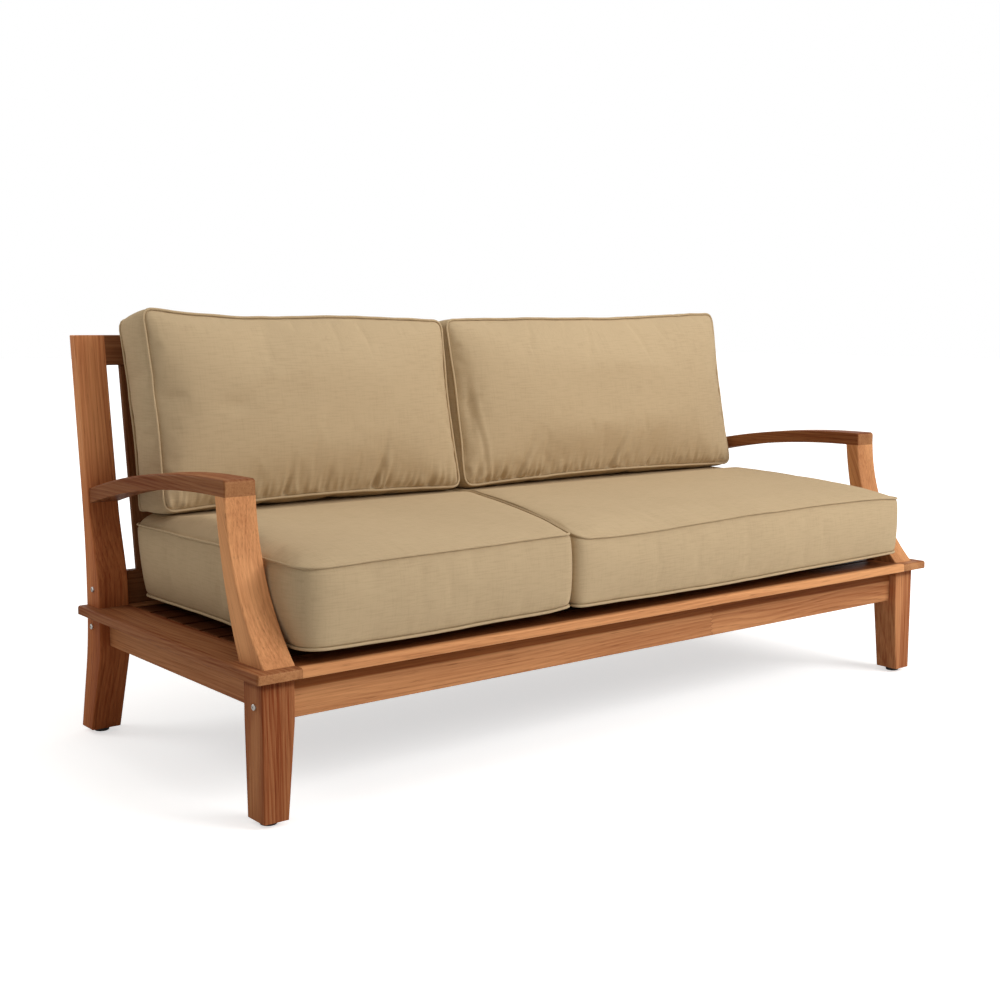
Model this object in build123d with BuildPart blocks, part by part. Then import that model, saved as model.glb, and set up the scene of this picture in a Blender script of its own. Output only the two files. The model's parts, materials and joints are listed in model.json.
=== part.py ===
from build123d import *
from math import sqrt
import os

os.makedirs("parts", exist_ok=True)

# A two-cushion outdoor sofa in solid hardwood, in millimetres.
# X runs along its length, the front faces -Y and Z is up.
# The origin lies on the floor under the centre of the footprint.

# Overall sizes
overall_length = 1934.0
overall_depth = 825.0
frame_height = 860.0
ledge_height = 288.0
board_thickness = 19.0
ledge_setback = 49.0

# Clearances and small edges
fit_clearance = 0.15
cushion_clearance = 0.3
edge_round = 3.0
joint_bevel = 1.0
overrun = 20.0

# Foot glides
glide_height = 10.0
glide_radius = 16.0
glide_edge = 2.5

# Front legs
side_inset = 22.5
front_inset = 25.0
leg_width = 66.0
leg_foot_width = 51.0
leg_depth = 67.0
leg_foot_depth = 61.0
taper_degrees = 5.0

# Back posts: setbacks of the side outline's corners from the back of the footprint
post_width = 67.0
post_foot_depth = 52.0
post_top_setback = 1.0
post_top_depth = 27.0
post_arm_setback = 77.6
post_seat_setback = 48.0
post_seat_depth = 64.0
post_arm_height = 480.0
post_front_knee_height = 345.0
post_back_knee_height = 430.0
post_front_ankle_height = 186.0
post_back_ankle_height = 215.0
post_lean_radius = 400.0
post_knee_radius = 320.0
post_ankle_radius = 120.0
post_back_knee_radius = 1900.0
post_back_ankle_radius = 650.0

# Aprons
apron_thickness = 25.0
side_apron_thickness = 22.0
front_apron_height = 81.5
side_apron_height = 65.0
front_apron_recess = 20.0
side_apron_recess = 22.0
rear_apron_setback = 12.0
tenon_length = 20.0
tenon_thickness = 9.0
tenon_shoulder = 8.0

# Ledge boards round the seat
front_ledge_width = 88.0
rear_ledge_width = 86.0
ledge_top_round = 5.0
ledge_low_round = 2.0
ledge_corner_round = 6.0

# Arm posts, sabre curved in the side view
arm_post_inset = 26.5
arm_post_width = 64.0
arm_post_toe = 25.0
arm_post_heel = 116.0
arm_post_top_front = 155.0
arm_post_top_back = 193.0
arm_post_height = 578.0
arm_post_front_radius = 434.0
arm_post_back_radius = 897.0

# Armrests, arched in the side view
arm_thickness = 31.0
arm_arch_start = 205.0
arm_joint_height = 509.6
arm_nose_round = 8.0
arm_edge_round = 4.0
arm_tenon_length = 15.0
arm_tenon_width = 40.0
arm_tenon_thickness = 12.0
upward_share = 0.3

# Dowels in the arm joints
dowel_radius = 5.0
dowel_length = 32.0
dowel_spacing = 30.0
dowel_foot_setback = 78.0
dowel_top_setback = 174.0

# Back frame
rail_thickness = 24.0
top_rail_height = 64.0
bottom_rail_height = 70.0
rail_setback = 2.0
slat_count = 19
slat_width = 57.5
slat_thickness = 13.0
slat_tenon_length = 12.0

# Seat base
seat_slat_count = 8
seat_slat_gap = 8.0
seat_slat_end_gap = 2.0
cleat_width = 40.0
cleat_height = 24.0
bearer_count = 3
bearer_width = 35.0
bearer_height = 42.0
bearer_spacing = 440.0
bearer_tenon_length = 10.0
slat_edge = 2.0

# Frame bolts and the barrel nuts that they screw into
bolt_head_radius = 6.0
bolt_head_height = 3.5
bolt_head_round = 1.6
bolt_recess_radius = 2.0
bolt_recess_depth = 1.6
bolt_radius = 3.0
bolt_length = 105.0
nut_radius = 5.0
nut_length = 14.0
front_bolt_drop = 70.0
front_bolt_setback = 28.0
rear_bolt_drop = 45.0
rail_bolt_rise = 37.0

# Seat cushions
seat_boxing = 154.0
seat_underside = 22.0
seat_crown = 36.0
seat_front_setback = 5.0
seat_rear_setback = 125.0
seat_side_gap = 8.4
seat_seam_front = -248.0
seat_seam_rear = -87.0
seat_seam_setback = 300.0
cushion_bulge = 4.0
cushion_gap = 2.0
cushion_draw = 5.0
cushion_corner = 36.0

# Back cushions, lying against the slats
back_boxing = 115.0
back_crown = 38.0
back_rear_crown = 44.0
back_height = 412.0
back_toe_setback = 250.0
back_toe_height = 501.0
back_head_setback = 171.0
back_side_gap = 20.4
back_seam = -87.0
landing_height = 491.0
landing_setback = 265.0
crown_reach = 135.0

# Shares of the crown's height and of its reach for each ring of a cushion's dome
dome_height_shares = (0.5, 1.0)
dome_inset_shares = (0.3, 1.0)
corner_shrink_share = 0.2

# Places worked out from the sizes above
half_length = overall_length / 2
back_y = overall_depth / 2
front_y = -overall_depth / 2
ledge_underside = ledge_height - board_thickness
outer_x = half_length - side_inset
leg_front_y = front_y + front_inset
leg_back_y = leg_front_y + leg_depth
post_inner_x = outer_x - post_width
post_top_back_y = back_y - post_top_setback
post_top_front_y = post_top_back_y - post_top_depth
post_arm_y = back_y - post_arm_setback
post_seat_back_y = back_y - post_seat_setback
post_seat_front_y = post_seat_back_y - post_seat_depth
post_foot_front_y = back_y - post_foot_depth
ledge_back_y = back_y - ledge_setback
side_apron_inner_x = outer_x - side_apron_recess - side_apron_thickness
front_apron_y = leg_front_y + front_apron_recess
rear_apron_y = post_seat_back_y - rear_apron_setback - apron_thickness
lean_run = (post_top_front_y - post_arm_y) / (frame_height - post_arm_height)
slat_bottom = ledge_height + bottom_rail_height
slat_top = frame_height - top_rail_height
arm_outer_x = half_length - arm_post_inset
arm_inner_x = arm_outer_x - arm_post_width
arm_top = arm_post_height + arm_thickness


def lean_y(height, setback):
    """Depth of a plane parallel to the posts' leaning front, at a height."""
    return post_top_front_y - (frame_height - height) * lean_run + setback


def side_low_x(side, outer, width):
    """Lower X of a piece whose outer face is at outer on the side -1 or 1."""
    return side * outer if side < 0 else outer - width


def both_sides():
    """The two ends of the sofa, with the word that names each."""
    return ((-1, "left"), (1, "right"))


def finish(part, label):
    """Label one piece and write it to its file."""
    part.label = label
    export_step(part, f"parts/{label}.step")
    print(f"{label}: {len(part.solids())} solid")


# Foot glides: one turned disc under each leg, rounded at the floor
def foot_centres():
    leg_x = outer_x - leg_foot_width / 2
    leg_y = leg_front_y + leg_foot_depth / 2
    post_x = outer_x - post_width / 2
    post_y = (post_foot_front_y + back_y) / 2
    return [(side * x, y) for side, _ in both_sides() for x, y in ((leg_x, leg_y), (post_x, post_y))]


with BuildPart() as foot_glides:
    with BuildSketch(Plane.XY):
        with Locations(*foot_centres()):
            Circle(glide_radius)
    extrude(amount=glide_height)
    fillet(foot_glides.faces().sort_by(Axis.Z)[:4].edges(), glide_edge)
finish(foot_glides.part, "foot_glides")


# Bolts: a low domed head outside, a shank into the end of the rail, a cross nut in the rail
post_bolt_y = rear_apron_y + apron_thickness / 2
rail_bolt_z = ledge_height + rail_bolt_rise
rail_bolt_y = lean_y(rail_bolt_z, rail_setback + rail_thickness / 2)
bolt_places = (
    (leg_front_y + front_bolt_setback, ledge_height - front_bolt_drop),
    (post_bolt_y, ledge_height - rear_bolt_drop),
    (rail_bolt_y, rail_bolt_z),
)


def bolt_plane(side):
    """Plane on the outer face of a leg or post, facing out of the sofa."""
    return Plane(origin=(side * outer_x, 0, 0), x_dir=(0, side, 0), z_dir=(side, 0, 0))


def bolt_points(side):
    return [(side * y, z) for y, z in bolt_places]


with BuildPart() as frame_bolts:
    for side, _ in both_sides():
        with BuildSketch(bolt_plane(side)):
            with Locations(*bolt_points(side)):
                Circle(bolt_head_radius)
        extrude(amount=bolt_head_height)
    rims = frame_bolts.faces().filter_by(Plane.YZ)
    outer_rims = [face for face in rims if abs(face.center().X) > outer_x + bolt_head_height / 2]
    fillet(ShapeList(outer_rims).edges(), bolt_head_round)
    for side, _ in both_sides():
        with BuildSketch(bolt_plane(side)):
            with Locations(*bolt_points(side)):
                Circle(bolt_radius)
        extrude(amount=-bolt_length)
        with BuildSketch(bolt_plane(side).offset(bolt_head_height - bolt_recess_depth)):
            with Locations(*bolt_points(side)):
                RegularPolygon(bolt_recess_radius, 6)
        extrude(amount=bolt_recess_depth + overrun, mode=Mode.SUBTRACT)
finish(frame_bolts.part, "frame_bolts")

nut_x = outer_x - bolt_length + nut_radius * 2
with BuildPart() as barrel_nuts:
    for side, _ in both_sides():
        for y, z in bolt_places:
            with BuildSketch(Plane.XZ.offset(-y - nut_length / 2)):
                with Locations((side * nut_x, z)):
                    Circle(nut_radius)
            extrude(amount=nut_length)
        with BuildSketch(bolt_plane(side)):
            with Locations(*bolt_points(side)):
                Circle(bolt_radius + fit_clearance)
        extrude(amount=-bolt_length - overrun, mode=Mode.SUBTRACT)
finish(barrel_nuts.part, "barrel_nuts")


def cut_bolt_holes(side):
    """Drill the bolts' clearance holes on one side of the part being built."""
    with BuildSketch(bolt_plane(side)) as holes:
        with Locations(*bolt_points(side)):
            Circle(bolt_radius + fit_clearance)
    extrude(holes.sketch, amount=-bolt_length - fit_clearance, mode=Mode.SUBTRACT)


def cut_nut_pockets(place):
    """Cross bores for the two barrel nuts at the ends of one rail."""
    y, z = place
    with BuildSketch(Plane.XZ.offset(-y - nut_length / 2 - fit_clearance)) as bores:
        with Locations((-nut_x, z), (nut_x, z)):
            Circle(nut_radius + fit_clearance)
    extrude(bores.sketch, amount=nut_length + fit_clearance * 2, mode=Mode.SUBTRACT)


# Front legs: square above the apron's lower edge, tapered below on the two inner sides
leg_taper_top = ledge_underside - front_apron_height
front_tenon_height = front_apron_height - tenon_shoulder * 2
side_tenon_height = side_apron_height - tenon_shoulder * 2
front_tenon_z = ledge_underside - front_apron_height / 2
side_tenon_z = ledge_underside - side_apron_height / 2
front_tenon_y = front_apron_y + apron_thickness / 2
side_tenon_x = side_apron_inner_x + side_apron_thickness / 2


def leg_section(side, height, width, depth):
    centre = (side * (outer_x - width / 2), leg_front_y + depth / 2)
    with BuildSketch(Plane.XY.offset(height)) as section:
        with Locations(centre):
            Rectangle(width, depth)
    return section.sketch


def cut_side_mortise(side, end_y, reach):
    """Mortise for a side apron's tenon, running from end_y by reach along Y."""
    with BuildSketch(Plane.XZ.offset(-end_y)) as mortise:
        with Locations((side * side_tenon_x, side_tenon_z)):
            Rectangle(tenon_thickness + fit_clearance * 2, side_tenon_height + fit_clearance * 2)
    extrude(mortise.sketch, amount=-reach, mode=Mode.SUBTRACT)


for side, word in both_sides():
    with BuildPart() as front_leg:
        foot = leg_section(side, glide_height, leg_foot_width, leg_foot_depth)
        head = leg_section(side, leg_taper_top, leg_width, leg_depth)
        loft(sections=[foot, head])
        extrude(head, amount=front_apron_height)
        fillet(front_leg.edges().filter_by(Axis.Z, tolerance=taper_degrees), edge_round)
        with BuildSketch(Plane.YZ.offset(side * (outer_x - leg_width))):
            with Locations((front_tenon_y, front_tenon_z)):
                Rectangle(tenon_thickness + fit_clearance * 2, front_tenon_height + fit_clearance * 2)
        extrude(amount=side * (tenon_length + fit_clearance), mode=Mode.SUBTRACT)
        cut_side_mortise(side, leg_back_y, -tenon_length - fit_clearance)
        cut_bolt_holes(side)
    finish(front_leg.part, f"front_leg_{word}")


# Back posts: one board from foot to top, sawn to a kinked outline and eased at each bend
def post_outline():
    """Side outline as corners (y, z) with the radius that eases each one."""
    corners = (
        (back_y, glide_height, 0),
        (post_seat_back_y, post_back_ankle_height, post_back_ankle_radius),
        (post_seat_back_y, post_back_knee_height, post_back_knee_radius),
        (post_top_back_y, frame_height, 0),
        (post_top_front_y, frame_height, 0),
        (post_arm_y, post_arm_height, post_lean_radius),
        (post_seat_front_y, post_front_knee_height, post_knee_radius),
        (post_seat_front_y, post_front_ankle_height, post_ankle_radius),
        (post_foot_front_y, glide_height, 0),
    )
    return [(y, z) for y, z, _ in corners], [radius for _, _, radius in corners]


arm_tenon_z = arm_joint_height + arm_thickness / 2
arm_mid_x = arm_outer_x - arm_post_width / 2
tenon_setback = rail_setback + (rail_thickness - tenon_thickness) / 2


def leaning_band(low, high, thickness, setback, mode=Mode.ADD):
    """Side outline of a rail or slat: a band between two heights, parallel to the lean."""
    near_low, near_high = lean_y(low, setback), lean_y(high, setback)
    far_low, far_high = near_low + thickness, near_high + thickness
    corners = ((near_low, low), (near_high, high), (far_high, high), (far_low, low))
    Polygon(*corners, align=None, mode=mode)


def cut_post_mortises(side):
    """Pockets in a back post for the rails, the aprons and the armrest."""
    inner = Plane.YZ.offset(side * post_inner_x)
    grown = fit_clearance
    middle = tenon_setback - grown
    with BuildSketch(inner) as pockets:
        low, high = slat_top + tenon_shoulder, frame_height - tenon_shoulder
        leaning_band(low - grown, high + grown, tenon_thickness + grown * 2, middle)
        low, high = ledge_height + tenon_shoulder, slat_bottom - tenon_shoulder
        leaning_band(low - grown, high + grown, tenon_thickness + grown * 2, middle)
        with Locations((post_bolt_y, side_tenon_z)):
            Rectangle(tenon_thickness + grown * 2, side_tenon_height + grown * 2)
    extrude(pockets.sketch, amount=side * (tenon_length + grown), mode=Mode.SUBTRACT)
    cut_side_mortise(side, post_seat_front_y, tenon_length + grown)
    with BuildSketch(Plane.XZ.offset(-post_arm_y)) as arm_pocket:
        with Locations((side * arm_mid_x, arm_tenon_z)):
            Rectangle(arm_tenon_width + grown * 2, arm_tenon_thickness + grown * 2)
    reach = arm_tenon_length + (arm_tenon_z - post_arm_height) * lean_run + grown * 2
    extrude(arm_pocket.sketch, amount=-reach, mode=Mode.SUBTRACT)


for side, word in both_sides():
    with BuildPart() as back_post:
        with BuildSketch(Plane.YZ.offset(side_low_x(side, outer_x, post_width))):
            points, radii = post_outline()
            with BuildLine():
                FilletPolyline(*points, radius=radii, close=True)
            make_face()
        extrude(amount=post_width)
        long_edges = back_post.edges().filter_by(Axis.X, reverse=True)
        fillet(long_edges, edge_round)
        cut_post_mortises(side)
        cut_bolt_holes(side)
    finish(back_post.part, f"back_post_{word}")


# Aprons: boards on edge between the legs, with a tenon on each end
def along_x(low_y, low_z, depth, height, half):
    """A bar along X with its lower front edge at the given depth and height."""
    with BuildSketch(Plane.YZ.offset(-half)) as section:
        with Locations((low_y, low_z)):
            Rectangle(depth, height, align=Align.MIN)
    extrude(section.sketch, amount=half * 2)


def along_y(centre_x, low_z, width, height, start_y, end_y, mode=Mode.ADD):
    """A bar along Y between two depths."""
    with BuildSketch(Plane.XZ.offset(-start_y)) as section:
        with Locations((centre_x, low_z)):
            Rectangle(width, height, align=(Align.CENTER, Align.MIN))
    extrude(section.sketch, amount=start_y - end_y, mode=mode)


bearer_xs = [bearer_spacing * (i - (bearer_count - 1) / 2) for i in range(bearer_count)]
bearer_low = ledge_underside - bearer_height
bearer_tenon_width = bearer_width - tenon_shoulder * 2
bearer_tenon_height = bearer_height - tenon_shoulder * 2


def cut_bearer_mortises(face_y, end_y):
    """Pockets for the bearers' stub tenons in one long apron."""
    for x in bearer_xs:
        low = bearer_low + tenon_shoulder - fit_clearance
        width = bearer_tenon_width + fit_clearance * 2
        height = bearer_tenon_height + fit_clearance * 2
        along_y(x, low, width, height, face_y, end_y, mode=Mode.SUBTRACT)


tenon_inset = (apron_thickness - tenon_thickness) / 2
front_apron_back_y = front_apron_y + apron_thickness
with BuildPart() as front_apron:
    half = outer_x - leg_width
    along_x(front_apron_y, leg_taper_top, apron_thickness, front_apron_height, half)
    low_edges = front_apron.edges().filter_by(Axis.X).group_by(Axis.Z)[0]
    fillet(low_edges, edge_round)
    low = leg_taper_top + tenon_shoulder
    half = half + tenon_length
    along_x(front_apron_y + tenon_inset, low, tenon_thickness, front_tenon_height, half)
    cut_bearer_mortises(front_apron_back_y, front_apron_back_y - bearer_tenon_length - fit_clearance)
    for side, _ in both_sides():
        cut_bolt_holes(side)
    cut_nut_pockets(bolt_places[0])
finish(front_apron.part, "front_apron")

with BuildPart() as rear_apron:
    low = ledge_underside - side_apron_height
    along_x(rear_apron_y, low, apron_thickness, side_apron_height, post_inner_x)
    low_edges = rear_apron.edges().filter_by(Axis.X).group_by(Axis.Z)[0]
    fillet(low_edges, edge_round)
    low = low + tenon_shoulder
    half = post_inner_x + tenon_length
    along_x(rear_apron_y + tenon_inset, low, tenon_thickness, side_tenon_height, half)
    cut_bearer_mortises(rear_apron_y, rear_apron_y + bearer_tenon_length + fit_clearance)
    for side, _ in both_sides():
        cut_bolt_holes(side)
    cut_nut_pockets(bolt_places[1])
finish(rear_apron.part, "rear_apron")

for side, word in both_sides():
    with BuildPart() as side_apron:
        low = ledge_underside - side_apron_height
        x = side * side_tenon_x
        along_y(x, low, side_apron_thickness, side_apron_height, leg_back_y, post_seat_front_y)
        low_edges = side_apron.edges().filter_by(Axis.Y).group_by(Axis.Z)[0]
        fillet(low_edges, edge_round)
        low = low + tenon_shoulder
        start, end = leg_back_y - tenon_length, post_seat_front_y + tenon_length
        along_y(x, low, tenon_thickness, side_tenon_height, start, end)
    finish(side_apron.part, f"side_apron_{word}")


# Seat base: cleats on the side aprons, bearers between the long aprons, slats on both
for side, word in both_sides():
    with BuildPart() as side_cleat:
        x = side * (side_apron_inner_x - cleat_width / 2)
        low = ledge_underside - cleat_height
        along_y(x, low, cleat_width, cleat_height, leg_back_y, post_seat_front_y)
        chamfer(side_cleat.edges().filter_by(Axis.Y).group_by(Axis.Z)[0], joint_bevel)
    finish(side_cleat.part, f"side_cleat_{word}")

for i, x in enumerate(bearer_xs):
    with BuildPart() as seat_bearer:
        along_y(x, bearer_low, bearer_width, bearer_height, front_apron_back_y, rear_apron_y)
        chamfer(seat_bearer.edges().filter_by(Axis.Y).group_by(Axis.Z)[0], joint_bevel)
        low = bearer_low + tenon_shoulder
        start = front_apron_back_y - bearer_tenon_length
        end = rear_apron_y + bearer_tenon_length
        along_y(x, low, bearer_tenon_width, bearer_tenon_height, start, end)
    finish(seat_bearer.part, f"seat_bearer_{i + 1}")

seat_zone_start = front_y + front_ledge_width
rear_ledge_y = ledge_back_y - rear_ledge_width
seat_zone = rear_ledge_y - seat_zone_start
seat_slat_width = (seat_zone - seat_slat_gap * (seat_slat_count + 1)) / seat_slat_count
for i in range(seat_slat_count):
    with BuildPart() as seat_slat:
        low_y = seat_zone_start + seat_slat_gap + i * (seat_slat_width + seat_slat_gap)
        half = post_inner_x - seat_slat_end_gap
        along_x(low_y, ledge_underside, seat_slat_width, board_thickness, half)
        fillet(seat_slat.edges().filter_by(Axis.X).group_by(Axis.Z)[-1], slat_edge)
    finish(seat_slat.part, f"seat_slat_{i + 1}")


# Dowels: two across the top of each arm post and two along its foot
dowel_foot_depth = board_thickness - edge_round * 2
dowel_foot_low = ledge_height - dowel_foot_depth
dowel_top_low = arm_post_height - (dowel_length - dowel_foot_depth)


def dowel_points(side):
    """Places of the dowels as (x, y, lower end)."""
    x = side * arm_mid_x
    reach = dowel_spacing / 2
    foot_y = front_y + dowel_foot_setback
    top_y = front_y + dowel_top_setback
    foot = [(x, foot_y - reach, dowel_foot_low), (x, foot_y + reach, dowel_foot_low)]
    return foot + [(x - reach, top_y, dowel_top_low), (x + reach, top_y, dowel_top_low)]


def cut_dowel_holes(side):
    """Blind holes for the dowels on one side of the part being built."""
    for x, y, low in dowel_points(side):
        with BuildSketch(Plane.XY.offset(low - fit_clearance)) as hole:
            with Locations((x, y)):
                Circle(dowel_radius + fit_clearance)
        extrude(hole.sketch, amount=dowel_length + fit_clearance * 2, mode=Mode.SUBTRACT)


with BuildPart() as dowels:
    for side, _ in both_sides():
        for x, y, low in dowel_points(side):
            with BuildSketch(Plane.XY.offset(low)):
                with Locations((x, y)):
                    Circle(dowel_radius)
            extrude(amount=dowel_length)
    chamfer(dowels.edges().filter_by(GeomType.CIRCLE), joint_bevel)
finish(dowels.part, "dowels")


# Ledge round the seat: side boards run the full depth and the front board butts between them
with BuildPart() as ledge_front:
    along_x(front_y, ledge_underside, front_ledge_width, board_thickness, post_inner_x)
    front_edges = ledge_front.edges().filter_by(Axis.X).group_by(Axis.Y)[0]
    fillet(front_edges.sort_by(Axis.Z)[-1], ledge_top_round)
    fillet(ledge_front.edges().filter_by(Axis.X).group_by(Axis.Z)[0].sort_by(Axis.Y)[0], ledge_low_round)
    top = ledge_front.faces().sort_by(Axis.Z)[-1]
    chamfer(top.edges().filter_by(Axis.Y), joint_bevel)
finish(ledge_front.part, "ledge_front")

with BuildPart() as ledge_rear:
    along_x(rear_ledge_y, ledge_underside, rear_ledge_width, board_thickness, post_inner_x)
    back_edges = ledge_rear.edges().filter_by(Axis.X).group_by(Axis.Y)[-1]
    fillet(back_edges, ledge_low_round)
finish(ledge_rear.part, "ledge_rear")

for side, word in both_sides():
    with BuildPart() as ledge_side:
        with BuildSketch(Plane.XY.offset(ledge_underside)):
            with Locations((side_low_x(side, half_length, half_length - post_inner_x), front_y)):
                Rectangle(half_length - post_inner_x, ledge_back_y - front_y, align=Align.MIN)
            with Locations((side_low_x(side, outer_x, post_width), post_seat_front_y)):
                notch = ledge_back_y - post_seat_front_y
                Rectangle(post_width, notch, align=Align.MIN, mode=Mode.SUBTRACT)
        extrude(amount=board_thickness)
        corners = ledge_side.edges().filter_by(Axis.Z).filter_by_position(
            Axis.X, *sorted((side * half_length - overrun, side * half_length + overrun))
        )
        fillet(corners, ledge_corner_round)
        top = ledge_side.faces().sort_by(Axis.Z)[-1]
        bottom = ledge_side.faces().sort_by(Axis.Z)[0]
        rounds = ((top, ledge_top_round), (bottom, ledge_low_round))
        for face, radius in rounds:
            outer = [
                edge
                for edge in face.edges()
                if abs(edge.center().X) > outer_x
                or edge.center().Y < front_y + joint_bevel
            ]
            fillet(ShapeList(outer), radius)
        cut_dowel_holes(side)
    finish(ledge_side.part, f"ledge_{word}")


# Arm posts: boards sawn to two arcs, wide at the foot and narrow under the arm
for side, word in both_sides():
    with BuildPart() as arm_post:
        with BuildSketch(Plane.YZ.offset(side_low_x(side, arm_outer_x, arm_post_width))):
            toe = (front_y + arm_post_toe, ledge_height)
            heel = (front_y + arm_post_heel, ledge_height)
            top_front = (front_y + arm_post_top_front, arm_post_height)
            top_back = (front_y + arm_post_top_back, arm_post_height)
            with BuildLine():
                RadiusArc(toe, top_front, -arm_post_front_radius)
                Line(top_front, top_back)
                RadiusArc(top_back, heel, arm_post_back_radius)
                Line(heel, toe)
            make_face()
        extrude(amount=arm_post_width)
        arcs = arm_post.edges().filter_by(GeomType.CIRCLE)
        fillet(arcs, edge_round)
        cut_dowel_holes(side)
    finish(arm_post.part, f"arm_post_{word}")


# Armrests: boards sawn to an arch, tenoned into the leaning back posts
for side, word in both_sides():
    with BuildPart() as armrest:
        with BuildSketch(Plane.YZ.offset(side_low_x(side, arm_outer_x, arm_post_width))):
            nose_y = front_y + arm_post_top_front
            arch_y = front_y + arm_arch_start
            end_y = post_top_front_y
            drop = arm_post_height - arm_joint_height
            low_radius = ((post_arm_y - arch_y) ** 2 + drop**2) / (2 * drop)
            top_radius = low_radius + arm_thickness
            arch_centre = arm_top - top_radius
            top_end = arch_centre + sqrt(top_radius**2 - (end_y - arch_y) ** 2)
            low_end = arch_centre + sqrt(low_radius**2 - (end_y - arch_y) ** 2)
            with BuildLine():
                Line((nose_y, arm_post_height), (nose_y, arm_top))
                Line((nose_y, arm_top), (arch_y, arm_top))
                RadiusArc((arch_y, arm_top), (end_y, top_end), top_radius)
                Line((end_y, top_end), (end_y, low_end))
                RadiusArc((end_y, low_end), (arch_y, arm_post_height), -low_radius)
                Line((arch_y, arm_post_height), (nose_y, arm_post_height))
            make_face()
            leaning_band(post_arm_height, frame_height, half_length, 0, mode=Mode.SUBTRACT)
        extrude(amount=arm_post_width)
        nose = armrest.edges().filter_by(Axis.X).group_by(Axis.Y)[0].sort_by(Axis.Z)[-1]
        fillet(nose, arm_nose_round)
        top_faces = [face for face in armrest.faces() if face.normal_at().Z > upward_share]
        rims = ShapeList(top_faces).edges().filter_by(Axis.X, reverse=True)
        fillet(rims, arm_edge_round)
        start, end = post_arm_y - arm_thickness, lean_y(arm_tenon_z, arm_tenon_length)
        low = arm_tenon_z - arm_tenon_thickness / 2
        along_y(side * arm_mid_x, low, arm_tenon_width, arm_tenon_thickness, start, end)
        cut_dowel_holes(side)
    finish(armrest.part, f"armrest_{word}")


# Back frame: two leaning rails with the slats let into them
slat_gap = (post_inner_x * 2 - slat_count * slat_width) / (slat_count + 1)
slat_xs = [-post_inner_x + slat_gap + i * (slat_width + slat_gap) for i in range(slat_count)]
slat_setback = rail_setback + (rail_thickness - slat_thickness) / 2


def leaning_bar(low, high, thickness, setback, start_x, length, mode=Mode.ADD):
    """A leaning bar along X between two heights."""
    with BuildSketch(Plane.YZ.offset(start_x)) as section:
        leaning_band(low, high, thickness, setback)
    extrude(section.sketch, amount=length, mode=mode)


def cut_slat_mortises(low, high):
    """Pockets for the ends of every slat in one rail."""
    thickness = slat_thickness + fit_clearance * 2
    for x in slat_xs:
        start = x - fit_clearance
        width = slat_width + fit_clearance * 2
        leaning_bar(low, high, thickness, slat_setback - fit_clearance, start, width, Mode.SUBTRACT)


def build_rail(low, high, pocket_low, pocket_high):
    """Fill the open part with a rail between the posts: tenons, eased edges and mortises."""
    leaning_bar(low, high, rail_thickness, rail_setback, -post_inner_x, post_inner_x * 2)
    rail_edges = edges().filter_by(Axis.X)
    fillet(rail_edges, edge_round)
    low_tenon, high_tenon = low + tenon_shoulder, high - tenon_shoulder
    start = -post_inner_x - tenon_length
    leaning_bar(low_tenon, high_tenon, tenon_thickness, tenon_setback, start, -start * 2)
    cut_slat_mortises(pocket_low, pocket_high)


with BuildPart() as back_top_rail:
    build_rail(slat_top, frame_height, slat_top - overrun, slat_top + slat_tenon_length + fit_clearance)
finish(back_top_rail.part, "back_top_rail")

with BuildPart() as back_bottom_rail:
    build_rail(ledge_height, slat_bottom, slat_bottom - slat_tenon_length, slat_bottom + overrun)
    for side, _ in both_sides():
        cut_bolt_holes(side)
    cut_nut_pockets(bolt_places[2])
finish(back_bottom_rail.part, "back_bottom_rail")

for i, x in enumerate(slat_xs):
    with BuildPart() as back_slat:
        low, high = slat_bottom - slat_tenon_length, slat_top + slat_tenon_length
        leaning_bar(low, high, slat_thickness, slat_setback, x, slat_width)
        sides = [edge for edge in back_slat.edges() if edge.length > slat_width * 2]
        fillet(ShapeList(sides), slat_edge)
    finish(back_slat.part, f"back_slat_{i + 1:02d}")


# Cushions: boxed forms with a crown on both faces, the sides drawn in between the corners
def ring(plane, corners, inset, bows):
    """One closed outline of lines and arcs, moved in from the corners."""
    points = [Vector(*corner) for corner in corners]
    count = len(points)
    steps = [(points[(i + 1) % count] - points[i]).normalized() for i in range(count)]
    inward = [Vector(-step.Y, step.X) for step in steps]
    moved = []
    for i in range(count):
        reach = inset / (1 + inward[i - 1].dot(inward[i]))
        moved.append(points[i] + (inward[i - 1] + inward[i]) * reach)
    trim = cushion_corner - inset * corner_shrink_share
    with BuildSketch(plane) as section:
        with BuildLine():
            for i in range(count):
                start, end = moved[i], moved[(i + 1) % count]
                along, after = steps[i], steps[(i + 1) % count]
                first, last = start + along * trim, end - along * trim
                if bows[i]:
                    ThreePointArc(first, (first + last) / 2 - inward[i] * bows[i], last)
                else:
                    Line(first, last)
                half_turn = sqrt((1 + along.dot(after)) / 2)
                bend = end + (after - along) * trim / (2 * (1 + half_turn))
                ThreePointArc(last, bend, end + after * trim)
        make_face()
    return section.sketch


def dome(plane, corners, bows, crown):
    """A crowned face from the piping inwards."""
    rings = [ring(plane, corners, 0, bows)]
    for height_share, inset_share in zip(dome_height_shares, dome_inset_shares):
        level = plane.offset(crown * height_share)
        rings.append(ring(level, corners, crown_reach * inset_share, bows))
    loft(sections=rings)


def cushion(plane, corners, bows, boxing, crown, under):
    """A whole cushion: the crowned face, the boxing round it and the crown behind."""
    dome(plane, corners, bows, crown)
    low, middle = plane.offset(-boxing), plane.offset(-boxing / 2)
    walls = [ring(plane, corners, 0, bows), ring(middle, corners, -cushion_bulge, bows)]
    loft(sections=walls + [ring(low, corners, 0, bows)])
    dome(low, corners, bows, -under)


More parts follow.
